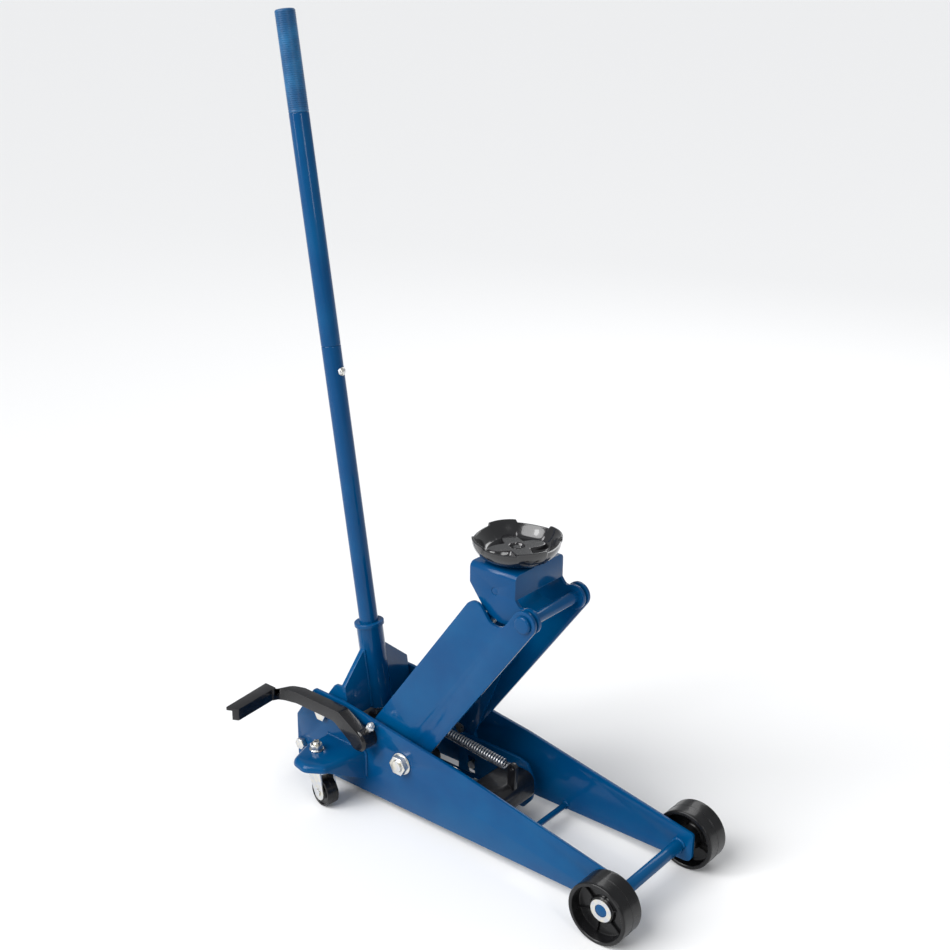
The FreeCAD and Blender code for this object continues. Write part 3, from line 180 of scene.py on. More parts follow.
class Finish:
    """One material: a principled shader with its constants, fed by expressions."""

    def __init__(self, name, **constants):
        self.material = bpy.data.materials.new(name)
        self.material.use_nodes = True
        self.tree = self.material.node_tree
        self.shader = self.tree.nodes["Principled BSDF"]
        for socket, value in constants.items():
            self.shader.inputs[socket.replace("_", " ")].default_value = value

    def node(self, kind, settings, inputs, output=0):
        made = self.tree.nodes.new("ShaderNode" + kind)
        for key, value in settings.items():
            setattr(made, key, value)
        for key, value in inputs.items():
            self.feed(self.socket(made, key), value)
        return Wire(self, made.outputs[output])

    def socket(self, made, key):
        if isinstance(key, int):
            return made.inputs[key]
        return next(s for s in made.inputs if key in (s.identifier, s.name))

    def feed(self, socket, value):
        if isinstance(value, Wire):
            self.tree.links.new(value.socket, socket)
        elif hasattr(socket.default_value, "__len__") and len(value) == 3 and len(socket.default_value) == 4:
            socket.default_value = (*value, 1)
        else:
            socket.default_value = value

    def mix(self, factor, first, second):
        inputs = {"Factor_Float": factor, "A_Color": tuple(first) if not isinstance(first, Wire) else first,
                  "B_Color": tuple(second) if not isinstance(second, Wire) else second}
        return self.node("Mix", {"data_type": "RGBA"}, inputs, 2)

    def place(self, stretch=(1, 1, 1)):
        """The point on the jack, in metres, stretched along each axis."""
        where = self.node("TexCoord", {}, {}, 3)
        return self.node("VectorMath", {"operation": "MULTIPLY"}, {0: where, 1: stretch})

    def noise(self, scale, detail=3.0, roughness=0.5, stretch=(1, 1, 1)):
        inputs = {"Vector": self.place(stretch), "Scale": scale, "Detail": detail, "Roughness": roughness}
        return self.node("TexNoise", {}, inputs)

    def cells(self, scale):
        return self.node("TexVoronoi", {}, {"Vector": self.place(), "Scale": scale})

    def edges(self, radius):
        """1 on convex and concave edges, 0 on flats."""
        flat = self.node("NewGeometry", {}, {}, 1)
        rounded = self.node("Bevel", {"samples": 4}, {"Radius": radius})
        return 1.0 - self.node("VectorMath", {"operation": "DOT_PRODUCT"}, {0: flat, 1: rounded}, 1)

    def bump(self, height, strength, distance):
        inputs = {"Height": height, "Strength": strength, "Distance": distance}
        self.feed(self.shader.inputs["Normal"], self.node("Bump", {}, inputs))

    def set(self, **wires):
        for socket, value in wires.items():
            self.feed(self.shader.inputs[socket.replace("_", " ")], value)
        return self.material


def enamel():
    """Gloss blue enamel: orange peel, slow tone changes, a painted highlight of lighter blue along the edges
    broken up by noise, and a few dust nibs.
    """
    colours = bpy.context.scene.jack_colours
    constants = {"Coat_Weight": 0.32, "Coat_Roughness": 0.05, "Coat_IOR": 1.45, "Specular_IOR_Level": 0.08}
    finish = Finish("blue_enamel", **constants)
    tone = finish.noise(9, 3).over(0.35, 0.7)
    nibs = finish.cells(420).math("LESS_THAN", 0.05) * finish.noise(60, 1).over(0.62, 0.66)
    # Painted edge highlight: a mask on the edges, broken up by noise, that mixes in the lighter edge blue and
    # roughens the edges a little.
    edge = (finish.edges(0.0016) * 3.0).clamp() * finish.noise(140, 4).over(0.3, 0.6)
    base = finish.mix(edge * 0.65, finish.mix(tone, colours.paint_deep, colours.paint), colours.edge)
    peel = finish.noise(330, 2, 0.45) + finish.noise(60, 2) * 0.7 + nibs * 1.5
    finish.bump(peel, 0.10, 0.0004)
    return finish.set(Base_Color=base, Roughness=finish.noise(22, 4) * 0.12 + edge * 0.08 + 0.17)


def zinc():
    """Bright zinc plate: brushed by tumbling, with faint blue and straw tints and dull spots."""
    colours = bpy.context.scene.jack_colours
    finish = Finish("bright_zinc", Metallic=1.0)
    tint = finish.noise(120, 3).over(0.35, 0.65)
    straw = finish.mix(tint, (0.66, 0.68, 0.72), (0.78, 0.75, 0.66))
    base = finish.mix(finish.noise(700, 4).over(0.55, 0.75) * 0.5, straw, colours.zinc)
    marks = finish.noise(900, 5, 0.7, (1, 0.2, 1))
    finish.bump(marks, 0.18, 0.0002)
    return finish.set(Base_Color=base, Roughness=finish.noise(260, 4) * 0.22 + 0.2)


def ground_steel():
    """Ground steel with fine turning marks and a film of oil."""
    finish = Finish("ground_steel", Metallic=1.0)
    lines = finish.noise(300, 4, 0.6, (14, 1, 1))
    base = finish.mix(finish.noise(40, 3), (0.50, 0.50, 0.51), (0.68, 0.67, 0.65))
    finish.bump(lines, 0.15, 0.0001)
    return finish.set(Base_Color=base, Roughness=lines * 0.2 + 0.14)


def hard_chrome():
    """The ram's chrome, with light scuffs along its travel and smears of oil."""
    finish = Finish("hard_chrome", Metallic=1.0)
    scuffs = finish.noise(260, 5, 0.7, (0.12, 1, 1)).over(0.5, 0.75)
    oil = finish.noise(24, 3).over(0.5, 0.72)
    base = finish.mix(oil * 0.5, (0.79, 0.80, 0.82), (0.52, 0.48, 0.40))
    finish.bump(scuffs, 0.08, 0.0001)
    return finish.set(Base_Color=base, Roughness=scuffs * 0.18 + oil * 0.1 + 0.05)


def spring_wire():
    """Oiled, drawn spring wire."""
    finish = Finish("spring_wire", Metallic=1.0)
    drawn = finish.noise(600, 4, 0.6)
    base = finish.mix(finish.noise(90, 3), (0.46, 0.47, 0.49), (0.66, 0.66, 0.67))
    finish.bump(drawn, 0.12, 0.0001)
    return finish.set(Base_Color=base, Roughness=drawn * 0.18 + 0.2)


def cast_black(name, grain, gloss):
    """Black enamel over a casting: the sand's grain shows through, and edges are rubbed."""
    colours = bpy.context.scene.jack_colours
    finish = Finish(name, Coat_Weight=0.4, Coat_Roughness=0.08, Specular_IOR_Level=0.3)
    sand = finish.noise(grain, 4, 0.6)
    pits = finish.noise(grain * 0.22, 3).over(0.4, 0.75)
    edge = (finish.edges(0.0014) * 3.0).clamp() * finish.noise(200, 4).over(0.42, 0.6)
    deep = finish.mix(pits, colours.black, (0.009, 0.009, 0.011))
    base = finish.mix(edge * 0.5, deep, (0.06, 0.06, 0.065))
    finish.bump(sand + pits * 1.4, 0.22, 0.0005)
    return finish.set(Base_Color=base, Roughness=sand * 0.18 + gloss)


def worn_saddle():
    """The saddle's black enamel, thick and glossy, with scuffs on the claws and in the dish."""
    colours = bpy.context.scene.jack_colours
    finish = Finish("saddle_enamel", Coat_Weight=0.8, Coat_Roughness=0.04, Specular_IOR_Level=0.4)
    pools = finish.noise(70, 3, 0.55)
    rubbed = (finish.edges(0.0012) * 4.0).clamp() * finish.noise(260, 4).over(0.45, 0.62)
    base = finish.mix(rubbed * 0.35, colours.black, (0.10, 0.10, 0.11))
    finish.bump(pools * 1.8 + finish.noise(420, 3) * 0.3, 0.2, 0.0006)
    return finish.set(Base_Color=base, Roughness=finish.noise(45, 4) * 0.16 + 0.12)


def wheel_black():
    """Moulded black of the wheels: glossy, with mould streaks round the tread and dusty hollows."""
    finish = Finish("wheel_black", Coat_Weight=0.25, Coat_Roughness=0.07, Specular_IOR_Level=0.2)
    dust = finish.noise(36, 4).over(0.45, 0.8)
    base = finish.mix(dust * 0.35, (0.006, 0.006, 0.0065), (0.018, 0.018, 0.02))
    streaks = finish.noise(260, 4, 0.6, (1, 6, 1))
    finish.bump(streaks + finish.noise(900, 3) * 0.5, 0.14, 0.0003)
    return finish.set(Base_Color=base, Roughness=finish.noise(80, 4) * 0.2 + 0.2)


def grip_vinyl():
    """Soft blue vinyl of the grip, a little paler on its ribs."""
    colours = bpy.context.scene.jack_colours
    finish = Finish("grip_vinyl", Coat_Weight=0.15, Coat_Roughness=0.3, Specular_IOR_Level=0.45)
    handled = finish.noise(28, 4).over(0.35, 0.75)
    base = finish.mix(handled * 0.6, colours.paint, (0.01, 0.16, 0.36))
    finish.bump(finish.noise(1500, 3), 0.2, 0.0002)
    return finish.set(Base_Color=base, Roughness=finish.noise(300, 4) * 0.15 + 0.36)


FINISHES = {
    "blue_paint": enamel,
    "zinc": zinc,
    "bright_steel": ground_steel,
    "chrome": hard_chrome,
    "spring_steel": spring_wire,
    "black_casting": lambda: cast_black("cast_black", 520, 0.26),
    "black_paint": lambda: cast_black("pedal_black", 260, 0.13),
    "saddle": worn_saddle,
    "blue_grip": grip_vinyl,
    "black_wheel": wheel_black,
    "caster_tyre": wheel_black,
}
MADE = {}


def finish_for(slot):
    if slot not in MADE:
        MADE[slot] = FINISHES[slot]()
    return MADE[slot]


# ---- mesh helpers ----

SLOT_OF = {part["node"]: part["material_slot"] for part in frame["record"]["subparts"]}
BODY_OF = {node: body for body, nodes in frame["record"]["behaviour"]["bodies"].items() for node in nodes}


def centre(node):
    low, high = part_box(node)
    return (low + high) / 2


def joint(name):
    """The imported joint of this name."""
    return next(j for j in frame["joints"] if j["name"] == name)


def circle(steps):
    """Angles that share a full turn evenly."""
    return [2 * math.pi * i / steps for i in range(steps)]


def quarter(steps):
    """Angles from 0 to a quarter turn, both ends included."""
    return [math.pi / 2 * i / steps for i in range(steps + 1)]


def polar(radius, turn, height):
    return Vector((radius * math.cos(turn), radius * math.sin(turn), height))


def step_up(value, low, high):
    """0 below low, 1 above high, and smooth between."""
    share = max(0.0, min(1.0, (value - low) / (high - low)))
    return share * share * (3 - 2 * share)


def smooth(mesh, degrees=32):
    mesh.polygons.foreach_set("use_smooth", [True] * len(mesh.polygons))
    mesh.set_sharp_from_angle(angle=math.radians(degrees))


def piece(name, mesh, body, slot, replaces=(), finish=None):
    """Put a finished mesh on its body, with its material."""
    thing = bpy.data.objects.new(name, mesh)
    bpy.context.scene.collection.objects.link(thing)
    mesh.materials.append(finish or finish_for(slot))
    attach(thing, body)
    if replaces:
        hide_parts(*replaces)
    return thing


def mesh_of(name, bm, degrees=32):
    bmesh.ops.recalc_face_normals(bm, faces=bm.faces)
    mesh = bpy.data.meshes.new(name)
    bm.to_mesh(mesh)
    bm.free()
    smooth(mesh, degrees)
    return mesh


def softened(node, edge, segments=2):
    """A copy of a CAD node with its hard edges rounded, which stands for it."""
    bm = bmesh.new()
    bm.from_mesh(frame["nodes"][node].data)
    bmesh.ops.remove_doubles(bm, verts=bm.verts, dist=1e-6)
    bmesh.ops.dissolve_limit(bm, angle_limit=math.radians(0.6), verts=bm.verts, edges=bm.edges)
    hard = [e for e in bm.edges if len(e.link_faces) == 2 and e.calc_face_angle(0) > math.radians(38)]
    bmesh.ops.bevel(bm, geom=hard, offset=edge, offset_type="OFFSET", segments=segments, profile=0.5,
                    affect="EDGES", clamp_overlap=True)
    bmesh.ops.triangulate(bm, faces=[f for f in bm.faces if len(f.verts) > 4])
    return piece(node + "_finished", mesh_of(node, bm), BODY_OF[node], SLOT_OF[node], [node])


def turned(profile, steps, matrix):
    """A ring mesh from (radius, along) pairs, turned about the matrix's Z axis."""
    bm = bmesh.new()
    rings = []
    for radius, along in profile:
        if radius < 1e-7:
            rings.append([bm.verts.new(matrix @ Vector((0, 0, along)))])
            continue
        rings.append([bm.verts.new(matrix @ polar(radius, a, along)) for a in circle(steps)])
    skin(bm, rings)
    return bm


def skin(bm, rings, closed=False):
    """Join rings of vertices into faces; a ring of one vertex closes a cap."""
    pairs = list(zip(rings, rings[1:]))
    if closed:
        pairs.append((rings[-1], rings[0]))
    for first, second in pairs:
        total = max(len(first), len(second))
        for i in range(total):
            j = (i + 1) % total
            near = (first[i % len(first)], first[j % len(first)])
            far = (second[j % len(second)], second[i % len(second)])
            unique = list(dict.fromkeys(near + far))
            if len(unique) > 2:
                bm.faces.new(unique)


def along(origin, direction):
    """A matrix whose Z axis runs along a direction from an origin."""
    turn = Vector(direction).normalized().to_track_quat("Z", "Y").to_matrix().to_4x4()
    return Matrix.Translation(Vector(origin)) @ turn


def swept(path, radius_at, sides=10, closed=False):
    """A round bar along points, with a radius that may change."""
    bm = bmesh.new()
    rings = []
    total = len(path)
    normal = None
    for i, point in enumerate(path):
        ahead = path[(i + 1) % total] if closed or i + 1 < total else path[i]
        behind = path[i - 1] if closed or i > 0 else path[i]
        way = (Vector(ahead) - Vector(behind)).normalized()
        if normal is None:
            normal = way.orthogonal()
        normal = (normal - way * normal.dot(way)).normalized()
        other = way.cross(normal)
        radius = radius_at(i / max(1, total - 1))
        rings.append([
            bm.verts.new(Vector(point) + normal * radius * math.cos(a) + other * radius * math.sin(a))
            for a in circle(sides)
        ])
    skin(bm, rings, closed)
    if not closed:
        bm.faces.new(rings[0])
        bm.faces.new(rings[-1])
    return bm


def rounded(corners, steps=8):
    """A polyline through (x, y, radius) corners with its rounded ones as arcs; the ends stay sharp."""
    points = [Vector(corners[0][:2])]
    for before, corner, after in zip(corners, corners[1:], corners[2:]):
        here = Vector(corner[:2])
        back = (Vector(before[:2]) - here).normalized()
        ahead = (Vector(after[:2]) - here).normalized()
        run = corner[2] / math.tan(back.angle(ahead) / 2)
        start, end = here + back * run, here + ahead * run
        for i in range(steps + 1):
            t = i / steps
            points.append(start * (1 - t) ** 2 + here * 2 * t * (1 - t) + end * t ** 2)
    points.append(Vector(corners[-1][:2]))
    return points


def bead(name, path, body):
    """A weld bead: overlapping ripples along a path."""
    rng = random.Random(name)
    radius = bpy.context.scene.jack_sizes.weld
    fine = []
    for a, b in zip(path, path[1:]):
        a, b = Vector(a), Vector(b)
        steps = max(2, int((b - a).length / (radius * 0.28)))
        fine += [a.lerp(b, i / steps) for i in range(steps)]
    fine.append(Vector(path[-1]))
    sizes = [
        radius * (0.82 + 0.16 * abs(math.sin(i * 0.62)) + rng.uniform(-0.05, 0.05))
        for i in range(len(fine))
    ]
    sizes[0] = sizes[-1] = radius * 0.35
    if len(sizes) > 4:
        sizes[1] = sizes[-2] = radius * 0.7
    bm = swept(fine, lambda t: sizes[round(t * (len(sizes) - 1))])
    return piece(name, mesh_of(name, bm, 60), body, "blue_paint")


class Operation(bpy.types.Operator):
    """Builds one group of pieces."""

    bl_options = {"REGISTER"}


# ---- pressed plates and castings ----

PLATES = [
    "right_side_plate", "left_side_plate", "right_arm_plate", "left_arm_plate", "arm_web", "right_horn_plate",
    "left_horn_plate", "right_side_link", "left_side_link", "saddle_bracket", "handle_socket", "link_anchor",
    "pump_cam", "cross_brace", "front_axle", "saddle_pin", "link_pin",
]
CASTINGS = ["power_unit", "ram_cylinder", "crosshead"]
BOLTS = [
    "rear_tie_bolt", "yoke_bolts", "link_bolts", "pivot_bolts", "pivot_nuts", "right_caster_fork",
    "left_caster_fork", "right_caster_rivet", "left_caster_rivet", "pedal_crank",
]


class JACK_OT_plates(Operation):
    """Round the sheared edges of the painted plates, brackets and pins"""

    bl_idname = "jack.plates"
    bl_label = "Painted plates"

    def execute(self, context):
        for node in PLATES:
            softened(node, context.scene.jack_sizes.plate_edge)
        return {"FINISHED"}


class JACK_OT_castings(Operation):
    """Round the edges of the castings"""

    bl_idname = "jack.castings"
    bl_label = "Castings"

    def execute(self, context):
        for node in CASTINGS:
            softened(node, context.scene.jack_sizes.cast_edge, 3)
        return {"FINISHED"}


class JACK_OT_fasteners(Operation):
    """Chamfer the nuts, bolt heads, rivets and forks"""

    bl_idname = "jack.fasteners"
    bl_label = "Fasteners and forks"

    def execute(self, context):
        for node in BOLTS:
            softened(node, context.scene.jack_sizes.bolt_edge)
        return {"FINISHED"}


# ---- wheels and casters ----

MOULD_LINE = 0.3 * MM    # how far the moulding line stands above the tread

def wheel_face(radius, half, hub, hub_face, web, bore):
    """(radius, along) of one face of a wheel: its hub, the dished web and the rim's lip, out to the tread."""
    rim = radius * 0.87
    lip = radius * 0.05
    tread = radius - MOULD_LINE
    face = [
        (bore, hub_face), (hub - 1 * MM, hub_face), (hub, hub_face - 1 * MM),
        (hub + 0.3 * MM, web + 1.5 * MM), (hub + 1.8 * MM, web), (rim - 4 * MM, web),
        (rim - 1.5 * MM, web + 1 * MM), (rim - 0.7 * MM, web + 3 * MM),
        (rim, half - 0.8 * MM), (rim + 0.8 * MM, half),
    ]
    shoulder = [(radius - lip * (1 - math.sin(a)), half - lip * (1 - math.cos(a))) for a in quarter(6)]
    return face + shoulder + [(tread, half * 0.7), (tread, 1.2 * MM)]


def wheel_mesh(outer, inner, radius, middle, way):
    """Two faces with the moulding line between them, turned about the wheel's axle."""
    tread = radius - MOULD_LINE
    line = [(tread, 0.7 * MM), (radius, 0.3 * MM), (radius, -0.3 * MM), (tread, -0.7 * MM)]
    profile = outer + line + [(r, -z) for r, z in reversed(inner)]
    bm = turned(profile + [profile[0]], 128, along(middle, way))
    bmesh.ops.remove_doubles(bm, verts=bm.verts, dist=1e-6)
    return bm


def front_wheel(side, sign, ribs):
    node = f"{side}_front_wheel"
    low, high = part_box(node)
    middle = (low + high) / 2
    radius, half = (high.x - low.x) / 2, (high.y - low.y) / 2
    hub, bore = radius * 0.42, radius * 0.201
    axle_end = (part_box("front_axle")[1].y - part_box("front_axle")[0].y) / 2
    hub_face = axle_end - abs(middle.y - centre("front_axle").y) - 2 * MM
    web = 4 * MM
    way = (0, sign, 0)
    outer = wheel_face(radius, half, hub, hub_face, web, bore)
    inner = wheel_face(radius, half, hub, half, web, bore)
    bm = wheel_mesh(outer, inner, radius, middle, way)
    piece(node + "_moulded", mesh_of(node, bm), node, "black_wheel", [node])
    place = along(middle, way)
    rib = bmesh.new()
    for face, rise in ((1, 5 * MM), (-1, 9 * MM)):
        for i in range(ribs):
            turn = place @ Matrix.Rotation(2 * math.pi * i / ribs + 0.35, 4, "Z")
            rib_block(rib, turn, (hub - 1 * MM, radius * 0.868), 0.8 * MM, face * web, face * rise)
    piece(node + "_ribs", mesh_of(node + "_ribs", rib), node, "black_wheel")


def rib_block(bm, matrix, reach, half, base, rise):
    """A tapered rib from one radius to another, with a rounded crest."""
    rings = []
    for x, share in ((reach[0], 1.0), ((reach[0] + reach[1]) / 2, 0.72), (reach[1], 0.9)):
        section = [(-half * 1.5, 0), (half * 1.5, 0), (half, rise * share * 0.8), (0, rise * share),
                   (-half, rise * share * 0.8)]
        rings.append([bm.verts.new(matrix @ Vector((x, y, base + z))) for y, z in section])
    skin(bm, rings)
    bm.faces.new(rings[0])
    bm.faces.new(rings[-1])


def caster_wheel(side):
    node = f"{side}_caster_wheel"
    low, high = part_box(node)
    roll = joint(f"{side}_caster_roll")
    radius, half, hub, web, bore = (high.z - low.z) / 2, 10.8 * MM, 11 * MM, 7.5 * MM, 4.1 * MM
    face = wheel_face(radius, half, hub, half, web, bore)
    bm = wheel_mesh(face, face, radius, (low + high) / 2, roll["axis"])
    piece(node + "_moulded", mesh_of(node, bm), node, "caster_tyre", [node])


def hex_nut(bm, matrix, across, low, high, bore):
    """A nut with its corners turned down at the top, and a hole."""
    corner = across / math.sqrt(3)
    rings = []
    levels = [(bore, low), (corner, low), (corner, high - 1.4 * MM), (corner, high), (bore + 1 * MM, high),
              (bore, high - 0.8 * MM)]
    for index, (reach, z) in enumerate(levels):
        ring = []
        for a in circle(48):
            flat = across / 2 / math.cos((a + math.pi / 6) % (math.pi / 3) - math.pi / 6)
            radius = min(reach, flat)
            if index == 3:
                radius = min(radius, across / 2 * 0.97)
            ring.append(bm.verts.new(matrix @ polar(radius, a, z)))
        rings.append(ring)
    skin(bm, rings, closed=True)


def thread(bm, matrix, radius, low, high, pitch=1.5 * MM):
    """Rings of thread on a stud, with a chamfered end."""
    profile = []
    z = low
    while z < high - pitch:
        profile += [(radius, z), (radius, z + pitch * 0.15), (radius - pitch * 0.5, z + pitch * 0.5),
                    (radius - pitch * 0.5, z + pitch * 0.6), (radius, z + pitch)]
        z += pitch
    profile += [(radius - pitch * 0.7, high), (0, high)]
    ringed = turned(profile, 40, matrix)
    spare = bpy.data.meshes.new("thread")
    ringed.to_mesh(spare)
    ringed.free()
    bm.from_mesh(spare)
    bpy.data.meshes.remove(spare)


def slotted_end(bm, matrix, radius, slot, low, high):
    """The end of a bolt with a screwdriver slot: two D shapes with the slot between them."""
    for half in (-1, 1):
        start = math.asin(slot / 2 / radius)
        arc = [start + (math.pi - 2 * start) * i / 16 for i in range(17)]
        flat = [(radius * math.cos(a), half * radius * math.sin(a)) for a in arc]
        rings = [[bm.verts.new(matrix @ Vector((x * s, y, z))) for x, y in flat]
                 for s, z in ((1, low), (1, high - 0.6 * MM), (0.9, high))]
        skin(bm, rings)
        bm.faces.new(rings[0])
        bm.faces.new(rings[-1])


class JACK_OT_front_wheels(Operation):
    """Mould the front wheels with their dished, ribbed faces"""

    bl_idname = "jack.front_wheels"
    bl_label = "Front wheels"

    def execute(self, context):
        for side, sign in SIDES:
            front_wheel(side, sign, context.scene.jack_sizes.wheel_ribs)
        return {"FINISHED"}


def caster_shelf(side, sign):
    """The pressed shelf: a level top whose edge rolls over into a lip that deepens towards the side plate."""
    node = f"{side}_caster_bracket"
    low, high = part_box(node)
    root = abs(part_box(f"{side}_side_plate")[0 if sign < 0 else 1].y - centre("front_axle").y)
    middle = centre("front_axle").y
    front = high.x
    top = high.z
    outer = (high.y - low.y) + root
    nose, skirt = 19 * MM, 11.5 * MM
    corners = [
        (front, root), (front - 17 * MM, outer - nose, 16 * MM), (front - 46 * MM, outer, 20 * MM),
        (front - 80 * MM, outer - 7 * MM, 20 * MM), (low.x, root + 52 * MM, 14 * MM), (low.x, root),
    ]
    edge = rounded(corners)
    normals = []
    for i in range(len(edge)):
        way = edge[min(i + 1, len(edge) - 1)] - edge[max(i - 1, 0)]
        normals.append(Vector((way.y, -way.x)).normalized())
    if normals[0].x < 0:
        normals = [-n for n in normals]
    roll = 10 * MM
    deep = high.z - low.z
    rings = []
    bm = bmesh.new()
    for a in quarter(6):
        inset, drop = roll * (1 - math.sin(a)), roll * (1 - math.cos(a))
        spots = [p - n * inset for p, n in zip(edge, normals)]
        rings.append([shelf_point(bm, spot, middle, sign, top - drop) for spot in spots])
    lip = []
    for p in edge:
        on_front = p.x > front - nose
        share = step_up((outer - nose - p.y) / (outer - nose - root), 0.0, 1.0) if on_front else 0.0
        lip.append(shelf_point(bm, p, middle, sign, top - skirt - (deep - skirt) * share))
    rings.append(lip)
    for first, second in zip(rings, rings[1:]):
        for i in range(len(first) - 1):
            bm.faces.new([first[i], first[i + 1], second[i + 1], second[i]])
    bm.faces.new(rings[0])
    bmesh.ops.recalc_face_normals(bm, faces=bm.faces)
    if sum(f.normal.z * f.calc_area() for f in bm.faces) < 0:
        bmesh.ops.reverse_faces(bm, faces=bm.faces)
    bmesh.ops.triangulate(bm, faces=[f for f in bm.faces if len(f.verts) > 4])
    bmesh.ops.solidify(bm, geom=bm.faces[:], thickness=3.6 * MM)
    return piece(node + "_pressed", mesh_of(node, bm, 40), "root", "blue_paint", [node])


def shelf_point(bm, flat, middle, sign, z):
    return bm.verts.new((flat.x, middle + sign * flat.y, z))


class JACK_OT_casters(Operation):
    """Press the caster shelves and make the casters' wheels, king bolts and slotted nuts"""

    bl_idname = "jack.casters"
    bl_label = "Casters"

    def execute(self, context):
        for side, sign in SIDES:
            caster_shelf(side, sign)
            caster_wheel(side)
            self.king_bolt(side)
        return {"FINISHED"}

    def king_bolt(self, side):
        node = f"{side}_caster_stem"
        low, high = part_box(node)
        spot = centre(node)
        shelf_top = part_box(f"{side}_caster_bracket")[1].z
        up = Matrix.Translation((spot.x, spot.y, 0))
        seat = shelf_top + 0.3 * MM
        bm = turned([
            (0, low.z), (8.5 * MM, low.z), (10 * MM, low.z + 1.5 * MM), (10 * MM, low.z + 5 * MM),
            (6 * MM, low.z + 5 * MM), (6 * MM, low.z + 8 * MM), (17 * MM, low.z + 8 * MM),
            (19.5 * MM, low.z + 9.5 * MM),
            (19.5 * MM, shelf_top - 6.4 * MM), (18 * MM, shelf_top - 5.3 * MM),
            (6 * MM, shelf_top - 5.3 * MM), (6 * MM, seat), (11.6 * MM, seat),
            (12 * MM, seat + 0.4 * MM), (12 * MM, seat + 1.6 * MM),
            (11.6 * MM, seat + 2 * MM), (6 * MM, seat + 2 * MM), (6 * MM, high.z - 5 * MM),
            (0, high.z - 5 * MM),
        ], 64, up)
        hex_nut(bm, up, 19 * MM, seat + 2 * MM, high.z - 5 * MM, 6.1 * MM)
        thread(bm, up, 6 * MM, high.z - 6 * MM, high.z - 2 * MM)
        slotted_end(bm, up, 5.2 * MM, 1.4 * MM, high.z - 2.2 * MM, high.z)
        piece(node + "_bolt", mesh_of(node, bm), BODY_OF[node], "zinc", [node])


# ---- saddle ----

CLAW_TURN = math.radians(59)    # where the first claw stands, round from the front
SADDLE_WALL = 3.4 * MM
PLATFORM = 18 * MM
CHANNEL = 11.5 * MM

class JACK_OT_saddle(Operation):
    """Cast the saddle: a thin dish with stepped claws and a lobed, dimpled middle"""

    bl_idname = "jack.saddle"
    bl_label = "Saddle"

    def execute(self, context):
        low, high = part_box("saddle")
        middle = centre("saddle")
        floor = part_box("saddle_bracket")[1].z + 0.3 * MM
        self.middle = Vector((middle.x, middle.y, floor))
        self.top = high.z - floor
        self.radius = (high.x - low.x) / 2
        self.claws = context.scene.jack_sizes.claws
        bm = bmesh.new()
        rings = [[bm.verts.new(self.middle + Vector((0, 0, 15 * MM)))]]
        rings += [self.ring(bm, self.dish, share / 56) for share in range(1, 57)]
        rings += [self.ring(bm, self.lip, share / 6) for share in range(1, 7)]
        rings += [self.ring(bm, self.under, share / 16) for share in range(1, 17)]
        for z in (0.0, low.z - floor):
            rings.append(self.ring(bm, lambda a, height: (8 * MM, height), z))
        rings.append([bm.verts.new(self.middle + Vector((0, 0, low.z - floor)))])
        skin(bm, rings)
        piece("saddle_casting", mesh_of("saddle", bm, 50), "saddle", "black_casting", ["saddle"],
              finish_for("saddle"))
        return {"FINISHED"}

    def ring(self, bm, shape, share):
        ring = []
        for a in circle(360):
            radius, height = shape(a, share)
            ring.append(bm.verts.new(self.middle + polar(radius, a, height)))
        return ring

    def swing(self, a):
        """1 on the middle of a claw, -1 between two."""
        return math.cos(self.claws * (a - CLAW_TURN))

    def claw(self, a):
        return step_up(self.swing(a), 0.08, 0.26)

    def reach(self, a):
        """The rim's outer radius: nearly straight between the claws."""
        return self.radius * (0.962 + 0.016 * self.swing(a) + 0.022 * self.claw(a))

    def rim(self, a):
        return self.top * (0.85 + 0.02 * self.swing(a) + 0.13 * self.claw(a))

    def dish(self, a, share):
        """The dish's upper face: the lobed platform with its dimple and screw, the channel, then the wall."""
        radius = (self.reach(a) - SADDLE_WALL) * share
        lobe = 33 * MM + 12 * MM * self.swing(a)
        channel = step_up(radius, lobe, lobe + 7 * MM)
        dimple = -3.8 * MM * (1 - step_up(radius, 10 * MM, 12 * MM))
        screw = 2.4 * MM * (1 - step_up(radius, 6 * MM, 7.5 * MM))
        wall = (self.rim(a) - CHANNEL) * step_up(share, 0.72, 1.06)
        return radius, PLATFORM * (1 - channel) + CHANNEL * channel + dimple + screw + wall

    def lip(self, a, share):
        """Over the rim, from the dish's edge to the outer face."""
        bend = math.pi * share
        half = SADDLE_WALL / 2
        radius = self.reach(a) - half - half * math.cos(bend)
        return radius, self.dish(a, 1)[1] + 0.9 * MM * math.sin(bend) * (1 - share)

    def under(self, a, share):
        """The bowl's underside, from the rim in to the flat foot."""
        turn = math.pi / 2 * share
        foot = self.radius * 0.5
        radius = foot + (self.reach(a) - foot) * math.cos(turn) ** 0.8
        return radius, self.dish(a, 1)[1] * (1 - math.sin(turn)) ** 0.9


# ---- springs ----

def helix(start, end, radius, turns, per_turn=18):
    """Points of an even coil between two points."""
    axis = end - start
    place = along(start, axis)
    total = int(turns * per_turn)
    return [
        place @ polar(radius, 2 * math.pi * turns * t, axis.length * t)
        for t in (i / total for i in range(total + 1))
    ]


